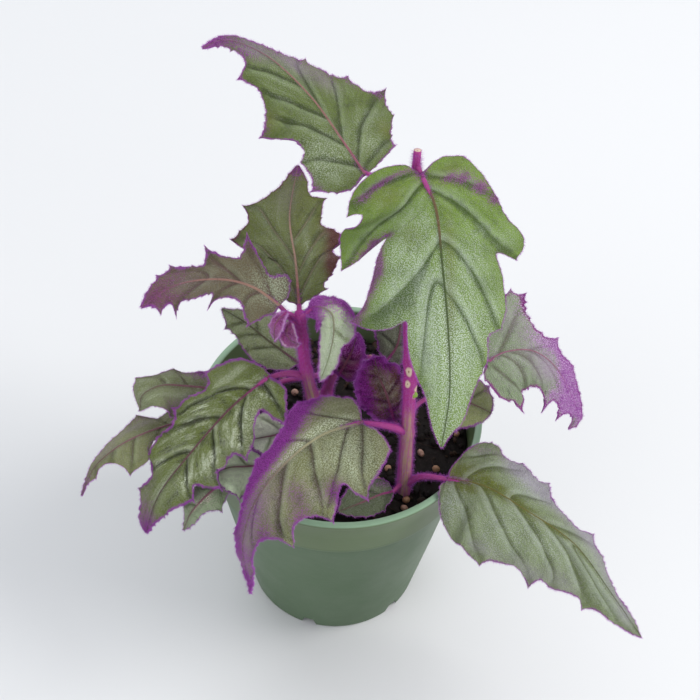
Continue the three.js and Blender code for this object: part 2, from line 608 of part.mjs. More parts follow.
// Leaf: the blade and its stalk, which ends inside the foot of the midrib
function buildLeaf(leaf, stemClearance) {
  const midrib = new THREE.CatmullRomCurve3(leaf.rib.map(vector));
  const { solid, place } = buildBlade(leaf, midrib);
  const route = leaf.stalk.map(vector);
  for (const share of [0.02, STALK.ribShare]) {
    route.push(place(share * midrib.getLength(), 0, BLADE.thickness * 0.7));
  }
  const stalk = limb(route, [leaf.thick, STALK.endRadius], STALK.steps, STALK.sides);
  return solid.add(stalk).subtract(stemClearance);
}

// Assembly
const plant = new THREE.Group();
plant.name = 'potted_passion_plant';

function addNode(name, solid, material) {
  const mesh = new THREE.Mesh(toGeometry(solid), material);
  mesh.name = name;
  plant.add(mesh);
}

const clearances = {};
for (const [name, stem] of Object.entries(STEMS)) {
  const route = stem.route.map(vector);
  const around = stem.route.map(vector);
  around[0].z -= GAP;
  around.at(-1).z += GAP;
  addNode(name, limb(route, stem.radius, STEM.steps, STEM.sides), stemSkin);
  clearances[name] = limb(around, stem.radius.map((r) => r + GAP), STEM.steps, STEM.sides);
}
addNode('pot', buildPot(), potPlastic);
addNode('soil', buildSoil(Object.values(clearances)), pottingMix);
for (const [name, leaf] of Object.entries(LEAVES)) {
  addNode(name, buildLeaf(leaf, clearances[leaf.stem]), leaf.young ? youngVelvet : velvetLeaf);
}

export default plant;
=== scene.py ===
"""Potted purple passion plant: the looks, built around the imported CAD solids."""
import math

import bmesh
import bpy
import numpy as np
from mathutils import Matrix, Vector


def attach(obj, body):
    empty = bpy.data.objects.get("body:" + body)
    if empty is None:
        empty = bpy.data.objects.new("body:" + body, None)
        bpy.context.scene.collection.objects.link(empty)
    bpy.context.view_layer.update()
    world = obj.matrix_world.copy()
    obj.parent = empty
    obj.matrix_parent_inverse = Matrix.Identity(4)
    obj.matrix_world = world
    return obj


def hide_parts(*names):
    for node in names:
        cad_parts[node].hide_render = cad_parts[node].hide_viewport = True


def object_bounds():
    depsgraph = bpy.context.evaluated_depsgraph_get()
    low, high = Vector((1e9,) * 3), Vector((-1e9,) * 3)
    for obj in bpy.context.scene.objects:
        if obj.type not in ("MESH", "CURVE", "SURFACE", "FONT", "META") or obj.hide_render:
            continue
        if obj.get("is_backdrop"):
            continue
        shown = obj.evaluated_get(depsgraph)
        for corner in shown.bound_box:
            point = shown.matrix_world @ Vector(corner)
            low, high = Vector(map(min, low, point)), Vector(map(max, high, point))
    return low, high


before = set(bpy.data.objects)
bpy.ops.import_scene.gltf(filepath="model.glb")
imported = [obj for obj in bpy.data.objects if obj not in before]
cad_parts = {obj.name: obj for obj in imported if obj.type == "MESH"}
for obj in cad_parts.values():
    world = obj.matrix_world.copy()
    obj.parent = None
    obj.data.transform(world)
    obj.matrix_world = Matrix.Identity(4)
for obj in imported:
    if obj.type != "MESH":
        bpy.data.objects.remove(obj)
cad_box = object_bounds()
MM = 0.001


# The pot
# A round nursery pot of soft sage green plastic, moulded in one piece: a tapered body, a collar that
# stands proud of it, a rolled lip, and six drain holes at the foot. It carries everything else.
POT_TURNS, WALL_STEP, FLOOR_THICK = 144, 6, 1.6
LIP_MIDDLE, LIP_ROUND = (51.55, 94.9), (0.45, 1.05)
DRAIN_HOLES, DRAIN_SIDES, DRAIN_RADIUS, DRAIN_CIRCLE, DRAIN_DEPTH = 6, 28, 4, 30.5, 5
CREASE_ANGLE = 38


def add_piece(name, points, faces, finishes, worn=None, marks=None, laid=None):
    """A mesh object from points in millimetres and faces of three or four corners each.
    worn gives each face's finish, marks the values its finish reads, laid a flat place per corner."""
    mesh = bpy.data.meshes.new(name)
    mesh.from_pydata((np.asarray(points) * MM).tolist(), [], [f for part in faces for f in part.tolist()])
    for finish in finishes:
        mesh.materials.append(finish)
    if worn is not None:
        mesh.polygons.foreach_set("material_index", np.asarray(worn, np.int32))
    for mark, values in (marks or {}).items():
        kind, field = ("FLOAT_VECTOR", "vector") if np.ndim(values) == 2 else ("FLOAT", "value")
        made = mesh.attributes.new(mark, kind, "POINT")
        made.data.foreach_set(field, np.asarray(values, np.float32).ravel())
    if laid is not None:
        mesh.uv_layers.new(name="OFBake").data.foreach_set("uv", np.asarray(laid, np.float32).ravel())
    mesh.polygons.foreach_set("use_smooth", np.ones(len(mesh.polygons), bool))
    mesh.update()
    piece = bpy.data.objects.new(name, mesh)
    bpy.context.scene.collection.objects.link(piece)
    return piece


def grid_faces(rows, columns, closed=False):
    """Quads of a grid of points that are numbered row by row; closed joins the last column to the first"""
    row, column = np.meshgrid(np.arange(rows - 1), np.arange(columns - (not closed)), indexing="ij")
    after = (column + 1) % columns
    corners = [row * columns + column, row * columns + after,
               (row + 1) * columns + after, (row + 1) * columns + column]
    return np.stack(corners, -1).reshape(-1, 4)


def skin_faces(rings, turns):
    """Faces of a closed round skin: rings of points in order, then one point for each end"""
    count, last = rings * turns, np.arange(turns)
    after = (last + 1) % turns
    ends = ((np.full(turns, count), after, last),
            (np.full(turns, count + 1), count - turns + last, count - turns + after))
    return [grid_faces(rings, turns, closed=True), *[np.stack(end, -1) for end in ends]]


def turned(radii, turns):
    """Places round the pot's middle, as x and y, with a row for each radius"""
    radii, turn = np.meshgrid(radii, np.linspace(0, 2 * math.pi, turns, endpoint=False), indexing="ij")
    return radii * np.cos(turn), radii * np.sin(turn)


def new_finish(name, **settings):
    """A material with its Principled shader, whose plain settings are given by socket name"""
    finish = bpy.data.materials.new(name)
    finish.use_nodes = True
    shader = finish.node_tree.nodes["Principled BSDF"]
    for socket, value in settings.items():
        shader.inputs[socket.replace("_", " ").title().replace("Ior", "IOR")].default_value = value
    return finish, finish.node_tree, shader


def give(socket, value):
    """Set an input to a number or colour, or link it to another node's output"""
    if isinstance(value, bpy.types.NodeSocket):
        socket.id_data.links.new(value, socket)
    elif value is not None:
        socket.default_value = value


def wire(tree, kind, *values, out=0, **settings):
    """A new node with its inputs given in order, as numbers, colours or other nodes' outputs"""
    node = tree.nodes.new("ShaderNode" + kind)
    for setting, value in settings.items():
        setattr(node, setting, value)
    for socket, value in zip(node.inputs, values):
        give(socket, value)
    return node.outputs[out]


def math_of(operation, first, *others, clamp=False):
    """Arithmetic on a node's output, in the tree that it belongs to"""
    return wire(first.id_data, "Math", first, *others, operation=operation, use_clamp=clamp)


def times(first, second, clamp=False):
    return math_of("MULTIPLY", first, second, clamp=clamp)


def scaled(value, factor, added):
    return math_of("MULTIPLY_ADD", value, factor, added)


def ramp(value, low, high, first=0.0, final=1.0, kind="SMOOTHSTEP"):
    """first where the value is at low or beyond, final where it is at high, and a smooth or, with LINEAR,
    a straight change between them"""
    return wire(value.id_data, "MapRange", value, low, high, first, final, interpolation_type=kind)


def blend(share, first, second):
    """A colour that turns from the first to the second as the share grows"""
    mixed = wire(share.id_data, "Mix", share, data_type="RGBA").node
    for socket, value in ((mixed.inputs[6], first), (mixed.inputs[7], second)):
        give(socket, (*value, 1) if isinstance(value, tuple) else value)
    return mixed.outputs[2]


def layer(colour, *coats):
    """A colour with others laid over it in turn, each given with the share of it that covers"""
    for share, coat in coats:
        colour = blend(share, colour, coat)
    return colour


def cover(shader, colour, rough, relief, strength, depth):
    """Give a finish its colour, roughness and relief; rough is a value and its two ranges"""
    rough = ramp(*rough, kind="LINEAR") if isinstance(rough, tuple) else rough
    bump = wire(shader.id_data, "Bump", strength, depth, None, relief)
    for socket, value in (("Base Color", colour), ("Roughness", rough), ("Normal", bump)):
        give(shader.inputs[socket], value)


def new_group(name, inputs, outputs):
    """A shader node group of values: its inputs by name, None for a place, and its outputs' names"""
    group = bpy.data.node_groups.new(name, "ShaderNodeTree")
    for socket, value in inputs.items():
        kind = "NodeSocketVector" if value is None else "NodeSocketFloat"
        made = group.interface.new_socket(socket, in_out="INPUT", socket_type=kind)
        if value is not None:
            made.default_value = value
    for socket in outputs:
        group.interface.new_socket(socket, in_out="OUTPUT", socket_type="NodeSocketFloat")
    return group, group.nodes.new("NodeGroupInput").outputs, group.nodes.new("NodeGroupOutput").inputs


def place_group(tree, group, **values):
    """The outputs of a node group put in a tree, with its inputs given by name"""
    node = tree.nodes.new("ShaderNodeGroup")
    node.node_tree = group
    for socket, value in values.items():
        give(node.inputs[socket], value)
    return node.outputs


# Fine grain: soft cloudy variation and small specks at two sizes, used by plastic, soil and skins
grain, given, result = new_group("fine grain", {"Places": None, "Cloud": 100.0, "Speck": 1000.0},
                                 ("Clouds", "Specks"))
give(result["Clouds"], wire(grain, "TexNoise", given["Places"], None, given["Cloud"], 4.0, 0.6))
give(result["Specks"], wire(grain, "TexNoise", given["Places"], None, given["Speck"], 3.0, 0.65))

# Outline of the wall, as radius and height: up the outside, over the lip, down the inside, over the floor
outer = [(0, 0), (32.3, 0), (33.0, 0.3), (33.4, 0.8), (33.5, 1.4), (40.0, 36.0), (46.75, 74.2),
         (46.8, 74.9), (47.3, 75.25), (48.2, 75.45), (48.6, 75.9), (48.65, 76.4), (50.55, 93.2), (50.8, 93.7)]
lip = [(LIP_MIDDLE[0] + LIP_ROUND[0] * math.cos(a), LIP_MIDDLE[1] + LIP_ROUND[1] * math.sin(a))
       for a in np.radians(range(-75, 85, 12))]
inner = [(50.0, 96.0), (49.75, 95.85), (49.5, 95.5), (49.35, 94.6), (49.3, 93.2), (47.4, 76.8),
         (47.2, 76.0), (45.7, 74.8), (45.45, 74.0), (38.8, 38.0), (32.2, 2.8), (31.6, 1.9),
         (30.6, FLOOR_THICK), (0, FLOOR_THICK)]
corners, wall = outer + lip + inner, []
for (r1, z1), (r2, z2) in zip(corners, corners[1:]):
    steps = max(1, int(math.hypot(r2 - r1, z2 - z1) / WALL_STEP))
    wall += [(r1 + (r2 - r1) * i / steps, z1 + (z2 - z1) * i / steps) for i in range(steps)]
wall = np.array(wall[1:])  # the centres of the underside and the floor are single points
x, y = turned(wall[:, 0], POT_TURNS)
points = np.stack([x, y, np.repeat(wall[:, 1:], POT_TURNS, axis=1)], -1).reshape(-1, 3)
points = np.concatenate([points, [(0, 0, 0), (0, 0, FLOOR_THICK)]])

pot_plastic, tree, shader = new_finish("sage plastic", specular_ior_level=0.45, ior=1.46)
places = wire(tree, "TexCoord", out=3)
worked = place_group(tree, grain, Places=places, Cloud=38.0, Speck=2400.0)
x, y, height = wire(tree, "SeparateXYZ", places).node.outputs
green = blend(worked["Clouds"], (0.092, 0.140, 0.064), (0.118, 0.166, 0.078))
# scuffs show as paler streaks round the outside, and potting dust clings to the inner wall
streaked = wire(tree, "Mapping", places, None, None, (60.0, 60.0, 900.0))
streaks = ramp(wire(tree, "TexNoise", streaked, None, 3.0, 5.0, 0.7), 0.55, 0.8)
radius = math_of("SQRT", math_of("ADD", times(x, x), times(y, y)))
inside = math_of("LESS_THAN", radius, scaled(height, 0.119, 0.0389))
dust = times(ramp(height, 0.090, 0.080), ramp(worked["Clouds"], 0.42, 0.62))
dust = times(dust, ramp(radius, 0.0494, 0.0488))
dust = times(dust, times(inside, ramp(height, 0.0758, 0.0765)))
# below the collar the body is painted darker green as painted shade under the collar; the rolled lip's top is
# painted pale mint as a painted highlight
green = layer(green, (ramp(height, 0.078, 0.074), (0.070, 0.122, 0.060)),
              (times(ramp(height, 0.0950, 0.0958), 0.75), (0.28, 0.44, 0.30)),
              (times(streaks, 0.22), (0.24, 0.28, 0.20)), (times(dust, 0.55), (0.05, 0.045, 0.03)))
rough = scaled(dust, 0.4, ramp(worked["Clouds"], 0.3, 0.7, 0.36, 0.52, "LINEAR"))
cover(shader, green, rough, scaled(worked["Specks"], 0.6, times(streaks, 0.4)), 0.25, 0.00012)

pot = add_piece("pot_moulding", points, skin_faces(len(wall), POT_TURNS), [pot_plastic])
cutters = []
for i in range(DRAIN_HOLES):
    angle = 2 * math.pi * (i + 0.25) / DRAIN_HOLES
    bpy.ops.mesh.primitive_cylinder_add(
        vertices=DRAIN_SIDES, radius=DRAIN_RADIUS * MM, depth=2 * DRAIN_DEPTH * MM,
        location=(DRAIN_CIRCLE * MM * math.cos(angle), DRAIN_CIRCLE * MM * math.sin(angle), 0))
    cutters.append(bpy.context.object)
    cut = pot.modifiers.new("drain", "BOOLEAN")
    cut.operation, cut.solver, cut.object = "DIFFERENCE", "EXACT", cutters[-1]
drained = bpy.data.meshes.new_from_object(pot.evaluated_get(bpy.context.evaluated_depsgraph_get()))
pot.modifiers.clear()
pot.data = drained
for cutter in cutters:
    bpy.data.objects.remove(cutter)
creased = bmesh.new()
creased.from_mesh(drained)
for edge in creased.edges:
    edge.smooth = edge.calc_face_angle(0) < math.radians(CREASE_ANGLE)
creased.to_mesh(drained)
creased.free()
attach(pot, "root")
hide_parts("pot")


# The potting mix
# Dark peat and bark mix, poured in and pressed down to a little under the collar's middle. Its top is
# loose: peat crumbs, chips of bark and a few fibres.
SOIL_LEVEL, SOIL_RELIEF, SOIL_RADIUS, SOIL_FOOT = 83, 1.1, 47.5, 1.9
SOIL_TURNS, SOIL_RINGS = 150, 44
LOOSE_REACH, FIBRES, FIBRE_REACH, FIBRE_HALF_WIDTH = 46.5, 90, 44, 0.14
# Peat crumbs and bark chips: number, smallest and largest radius, flatness, roughness
LUMPS = [(620, (0.5, 1.4), 0.3, 0.22), (150, (1.2, 2.6), 0.75, 0.15)]


def rolling(x, y):
    """Height of the mix over a place in the pot, before its crumbs"""
    broad = np.sin(0.16 * x + 1.1) * np.cos(0.19 * y - 0.4)
    crumbs = np.sin(0.83 * x - 0.61 * y) * np.cos(0.57 * x + 0.92 * y + 0.8)
    level = SOIL_LEVEL + SOIL_RELIEF * (0.5 * broad + 0.5 * crumbs)
    edge = np.clip((np.hypot(x, y) - 43) / 5, 0, 1)
    return level - 1.6 * edge * edge


def scatter_lumps(chance, count, radii, flatness, rows, turns, roughness, at=None):
    """Lumps lying on the mix, at random or at given places: points, faces and a tint for each point"""
    tilt = np.linspace(0, math.pi, rows + 2)[1:-1]
    spin = np.linspace(0, 2 * math.pi, turns, endpoint=False)
    tilt, spin = np.meshgrid(tilt, spin, indexing="ij")
    ball = np.stack([np.sin(tilt) * np.cos(spin), np.sin(tilt) * np.sin(spin), np.cos(tilt)], -1)
    ball = np.concatenate([ball.reshape(-1, 3), [(0, 0, 1), (0, 0, -1)]])
    points, tints = [], []
    for i in range(count):
        size = chance.uniform(*radii)
        if at is None:
            away, spin = LOOSE_REACH * math.sqrt(chance.uniform(0, 1)), chance.uniform(0, 2 * math.pi)
            x, y = away * math.cos(spin), away * math.sin(spin)
        else:
            x, y = at[i]
        shape = ball * (1 + roughness * chance.uniform(-1, 1, (len(ball), 1)))
        shape = shape * size * np.array([1, chance.uniform(0.6, 1), 1 - flatness * chance.uniform(0.3, 1)])
        turn = Matrix.Rotation(chance.uniform(0, 6.28), 3, "Z")
        lean = np.array(turn @ Matrix.Rotation(chance.uniform(-0.5, 0.5), 3, "X"))
        points.append(shape @ lean.T + (x, y, rolling(x, y) + 0.35 * size))
        tints.append(np.full(len(ball), chance.uniform(0, 1)))
    faces = [np.concatenate([part[:, ::-1] + i * len(ball) for i in range(count)])
             for part in skin_faces(rows, turns)]
    return np.concatenate(points), faces, np.concatenate(tints)


def read_mark(tree, mark, out=2):
    """A mark that add_piece puts on the points: its value, or its place with out=1"""
    return wire(tree, "Attribute", out=out, attribute_name=mark)


chance = np.random.default_rng(11)
side = np.array([(30.4, SOIL_FOOT), (31.8, 3.0), (45.1, 74.4), (46.9, 77.0), (SOIL_RADIUS, 81.2)])
radii = SOIL_RADIUS * (1 - (np.arange(1, SOIL_RINGS) / SOIL_RINGS) ** 1.1)
x, y = turned(np.concatenate([side[:, 0], radii]), SOIL_TURNS)
crumb = np.sin(2.3 * x + 1.7 * np.sin(1.9 * y)) * np.sin(2.1 * y + 1.3 * np.sin(2.7 * x))
z = rolling(x, y) + (0.35 * crumb + chance.uniform(-0.28, 0.28, x.shape))
z[: len(side)] = side[:, 1:]
body = np.stack([x, y, z], -1).reshape(-1, 3)
body = np.concatenate([body, [(0, 0, SOIL_FOOT), (0, 0, rolling(0, 0))]])
loose, faces, tints, first = [body], skin_faces(len(x), SOIL_TURNS), [np.full(len(body), 0.3)], len(body)
for amount, sizes, flatness, roughness in LUMPS:
    lumps, lump_faces, tint = scatter_lumps(chance, amount, sizes, flatness, 4, 7, roughness)
    loose.append(lumps)
    faces += [part + first for part in lump_faces]
    tints.append(tint)
    first += len(lumps)
# fibres: thin bent strips
for i in range(FIBRES):
    away, spin = FIBRE_REACH * math.sqrt(chance.uniform(0, 1)), chance.uniform(0, 2 * math.pi)
    heading = chance.uniform(0, 2 * math.pi) + np.linspace(0, chance.uniform(-1.6, 1.6), 9)
    steps = chance.uniform(0.5, 1.3) * np.cumsum(np.stack([np.cos(heading), np.sin(heading)], -1), axis=0)
    middle = np.array([away * math.cos(spin), away * math.sin(spin)]) + steps
    middle = middle[np.hypot(*middle.T) < LOOSE_REACH]
    n = len(middle)
    if n < 4:
        continue
    lift = rolling(*middle.T) + 0.7 + 0.5 * np.sin(np.linspace(0, math.pi, n))
    half = FIBRE_HALF_WIDTH * np.stack([-np.sin(heading), np.cos(heading)], -1)[:n]
    lines = ((middle + half, lift), (middle - half, lift), (middle, lift + 0.16))
    loose.append(np.concatenate([np.stack([*flat.T, height], -1) for flat, height in lines]))
    run = first + np.arange(n - 1)
    for low, high in ((0, 2 * n), (2 * n, n), (n, 0)):
        faces.append(np.stack([low + run, low + run + 1, high + run + 1, high + run], -1))
    tints.append(np.full(3 * n, 0.9))
    first += 3 * n

potting_mix, tree, shader = new_finish("peat and bark", specular_ior_level=0.25)
worked = place_group(tree, grain, Places=wire(tree, "TexCoord", out=3), Cloud=160.0, Speck=1500.0)
peat = blend(worked["Clouds"], (0.005, 0.004, 0.004), (0.016, 0.011, 0.009))
bark = blend(worked["Specks"], (0.016, 0.010, 0.007), (0.070, 0.040, 0.024))
mixed = layer(peat, (ramp(read_mark(tree, "tint"), 0.62, 0.98), bark),
              (times(ramp(worked["Specks"], 0.60, 0.72), 0.5), (0.07, 0.05, 0.036)))
cover(shader, mixed, (worked["Clouds"], 0.3, 0.7, 0.72, 0.95), worked["Specks"], 0.7, 0.0005)
mix = add_piece("potting_mix_top", np.concatenate(loose), faces, [potting_mix],
                marks={"tint": np.concatenate(tints)})
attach(mix, "root")
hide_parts("soil")


# The feed beads
# Slow release plant feed in round beads of tan resin, about 3 mm across, lying loose on the mix. Some have
# a place of their own in front of the tall stem, and the others are spread over the rest of the mix.
BEADS = [(30.3, -9.2), (18.3, -16.7), (25, -30.2), (24.3, -33.4), (26.3, -37), (13.9, -32.9), (10.4, -37),
         (43.7, 0.4)]
BEAD_RADII, OTHER_BEADS = (1.2, 1.65), 34

chance = np.random.default_rng(5)
others = zip(chance.uniform(8, 45, OTHER_BEADS), chance.uniform(0, 6.28, OTHER_BEADS))
spots = BEADS + [(away * math.cos(spin), away * math.sin(spin)) for away, spin in others]
points, faces, tint = scatter_lumps(chance, len(spots), BEAD_RADII, 0.12, 9, 14, 0.02, at=spots)
feed, tree, shader = new_finish("feed bead", specular_ior_level=0.4)
worked = place_group(tree, grain, Places=wire(tree, "TexCoord", out=3), Cloud=500.0, Speck=3000.0)
tan = blend(read_mark(tree, "tint"), (0.42, 0.24, 0.13), (0.48, 0.30, 0.24))
tan = blend(ramp(worked["Specks"], 0.45, 0.68), tan, (0.24, 0.12, 0.06))
cover(shader, tan, (worked["Clouds"], 0.3, 0.7, 0.45, 0.7), worked["Specks"], 0.3, 0.0002)
beads = add_piece("feed_beads", points, faces, [feed], marks={"tint": tint})
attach(beads, "root")


# The stems
# Three soft, fleshy stems that stand 20 mm deep in the mix. Their skin is pink and olive under a dense
# coat of magenta hairs, barest low down; the side toward the camera is painted paler flesh, in place of the
# velvet sheen that leaves only the stems' edges magenta. Each swells a little where a leaf's stalk leaves it.
# The tall one keeps the pale scars of fallen leaves, a green bud, and a dry cut end at its top.
STEMS = {
    "stem_right": dict(
        route=[(24, -26, 63), (24, -26, 84), (23.5, -23, 113), (23, -18, 136), (21, -9, 162), (20, 0, 188),
               (20.5, 6, 215)], radii=(2.8, 1.2), joints=[50, 72, 80, 139, 148], bare=(1.0, 60)),
    "stem_left": dict(
        route=[(-4, -14, 63), (-4, -14, 84), (-9, -12.5, 113), (-12, -11.5, 130), (-13.5, -11, 145),
               (-14.5, -10, 157)], radii=(2.5, 1.7), joints=[40, 56, 68, 84, 92], bare=(0.85, 66)),
    "stem_back": dict(
        route=[(-6, 10, 63), (-6, 10, 84), (-4, 10, 100), (0, 9, 116)], radii=(2.3, 1.6),
        joints=[30, 42, 50], bare=(0.3, 60)),
}
# Scars on the tall stem: distance along it, turn round it in degrees from the front, height and width;
# and its bud, with a size in place of the two
SCARS = [(77.5, -12, 1.9, 1.25), (72.8, -18, 1.5, 0.9), (70.0, 68, 1.1, 1.0)]
BUD = (67.5, 62, 1.3)
STEM_SIDES, RING_STEP, SCAR_ROUND = 40, 0.7, 2.3
HAIR_WIDTH, HAIRS_PER_MM, BURIED = 0.055, 110, 83.5
SKIN_ROUND = 2.5  # flat width of a limb's skin for each radian round it
PEAK = (0, 0, 1.0)  # a hair's corners: two at its root and one at its tip


def unit(ways):
    """Directions at a length of one"""
    return ways / np.maximum(np.linalg.norm(ways, axis=-1, keepdims=True), 1e-6)


def smooth_step(value, low, high):
    share = np.clip((value - low) / (high - low), 0, 1)
    return share * share * (3 - 2 * share)


def run_along(line):
    """Distance run at each point of a line"""
    return np.concatenate([[0], np.cumsum(np.linalg.norm(np.diff(line, axis=0), axis=1))])


def make_route(through, steps=400):
    """Dense points of the smooth curve through some points, and the distance run at each"""
    p = np.array(through, float)
    if len(p) == 2:
        dense = p[0] + (p[1] - p[0]) * np.linspace(0, 1, steps)[:, None]
        return dense, run_along(dense)
    p = np.concatenate([[2 * p[0] - p[1]], p, [2 * p[-1] - p[-2]]])
    pieces = []
    for a, b, c, d in zip(p, p[1:], p[2:], p[3:]):
        ab, bc, cd = [max(np.linalg.norm(v) ** 0.5, 1e-4) for v in (b - a, c - b, d - c)]
        leave = ((b - a) / ab - (c - a) / (ab + bc) + (c - b) / bc) * bc
        arrive = ((c - b) / bc - (d - b) / (bc + cd) + (d - c) / cd) * bc
        t = np.linspace(0, 1, steps // (len(p) - 3), endpoint=False)[:, None]
        pieces.append(b + leave * t + (3 * (c - b) - 2 * leave - arrive) * t ** 2
                      + (2 * (b - c) + leave + arrive) * t ** 3)
    dense = np.concatenate([*pieces, p[-2:-1]])
    return dense, run_along(dense)


def on_route(route, distance):
    """Point and direction at a distance along a route, straight on past its ends"""
    dense, run = route

    def point(at):
        inside = np.stack([np.interp(at, run, dense[:, i]) for i in range(dense.shape[1])], -1)
        before = np.minimum(at, 0)[..., None] * unit(dense[1] - dense[0])
        return inside + before + np.maximum(at - run[-1], 0)[..., None] * unit(dense[-1] - dense[-2])

    distance = np.asarray(distance, float)
    return point(distance), unit(point(distance + 0.5) - point(distance - 0.5))


def tube(route, distances, radii, sides):
    """Points, faces, directions out of the skin and flat places of a round limb; radii is one per ring"""
    middle, ahead = on_route(route, distances)
    first = unit(np.cross(ahead, (0.3, -1, 0.2)))
    spin = np.linspace(0, 2 * math.pi, sides, endpoint=False)
    out = first[:, None] * np.cos(spin)[:, None] + np.cross(ahead, first)[:, None] * np.sin(spin)[:, None]
    points = middle[:, None] + out * np.asarray(radii).reshape(len(distances), -1, 1)
    along, around = np.meshgrid(distances, SKIN_ROUND * spin, indexing="ij")
    flat = np.stack([along, around, 0 * along], -1).reshape(-1, 3)
    flat = np.concatenate([flat, [(distances[0], 0, 0), (distances[-1], 0, 0)]])
    points = np.concatenate([points.reshape(-1, 3), middle[:1], middle[-1:]])
    return points, skin_faces(len(distances), sides), out.reshape(-1, 3), flat


def hairs(roots, leans, lengths, chance):
    """The three points of a thin upright triangle for each hair"""
    side = np.cross(leans, chance.normal(size=roots.shape))
    side = 0.5 * HAIR_WIDTH * unit(side)
    tips = roots + leans * np.asarray(lengths)[:, None]
    return np.stack([roots - side, roots + side, tips], 1).reshape(-1, 3)


def lay_hairs(tints, low, high):
    """Flat places of the hairs' corners: upright in a strip along the sheet's foot, sorted by tint"""
    laid = np.stack([0.02 + 0.96 * tints, np.tile([low, low, high], len(tints) // 3)], -1)
    laid[0::3, 0] -= 0.004
    laid[1::3, 0] += 0.004
    return laid


def paint(red, green, blue):
    """A colour given as it looks on a screen, from 0 to 255, as the shader wants it"""
    shares = [c / 255 for c in (red, green, blue)]
    return tuple(c / 12.92 if c < 0.0404 else ((c + 0.055) / 1.055) ** 2.4 for c in shares)


# Hair: a colour from silvery lilac to deep magenta, by each hair's tint, and paler at its tip
hair, tree, shader = new_finish("plant hair", roughness=0.5, specular_ior_level=0.35)
kind = read_mark(tree, "tint")
tone = layer(paint(190, 192, 172), (ramp(kind, 0.0, 0.5), paint(172, 104, 186)),
             (ramp(kind, 0.5, 1.0), paint(158, 24, 168)),
             (times(read_mark(tree, "reach"), 0.3), paint(216, 140, 230)))
give(shader.inputs["Base Color"], tone)

stem_skin, tree, shader = new_finish(
    "stem skin", specular_ior_level=0.3, sheen_weight=0.4, sheen_roughness=0.35,
    sheen_tint=(0.75, 0.12, 0.65, 1))
places, scar = read_mark(tree, "flat", out=1), read_mark(tree, "scar")
stretched = wire(tree, "Mapping", places, None, None, (0.06, 1.1, 1.0))
worked = place_group(tree, grain, Places=stretched, Cloud=1.0, Speck=4.0)
mottle = place_group(tree, grain, Places=places, Cloud=0.25, Speck=2.5)
magenta = blend(mottle["Clouds"], paint(146, 10, 114), paint(180, 52, 150))
flesh = blend(worked["Specks"], paint(188, 138, 126), paint(166, 156, 116))
# flesh shows by each stem's mark: low down, and on the side toward the camera, where it is painted in place
# of the hairs' sheen
bare = times(scaled(ramp(worked["Clouds"], 0.40, 0.60), 0.55, 0.4), read_mark(tree, "flesh_share"), clamp=True)
skin = layer(magenta, (bare, flesh), (ramp(mottle["Specks"], 0.60, 0.75), paint(196, 156, 176)),
             (ramp(scar, 0.3, 0.8), paint(212, 192, 168)), (ramp(scar, 1.3, 1.6), paint(120, 78, 44)),
             (ramp(scar, 2.3, 2.6), paint(128, 168, 64)))
relief = scaled(worked["Specks"], 0.7, times(mottle["Specks"], 0.5))
cover(shader, skin, (mottle["Specks"], 0.3, 0.7, 0.45, 0.7), relief, 0.5, 0.0003)

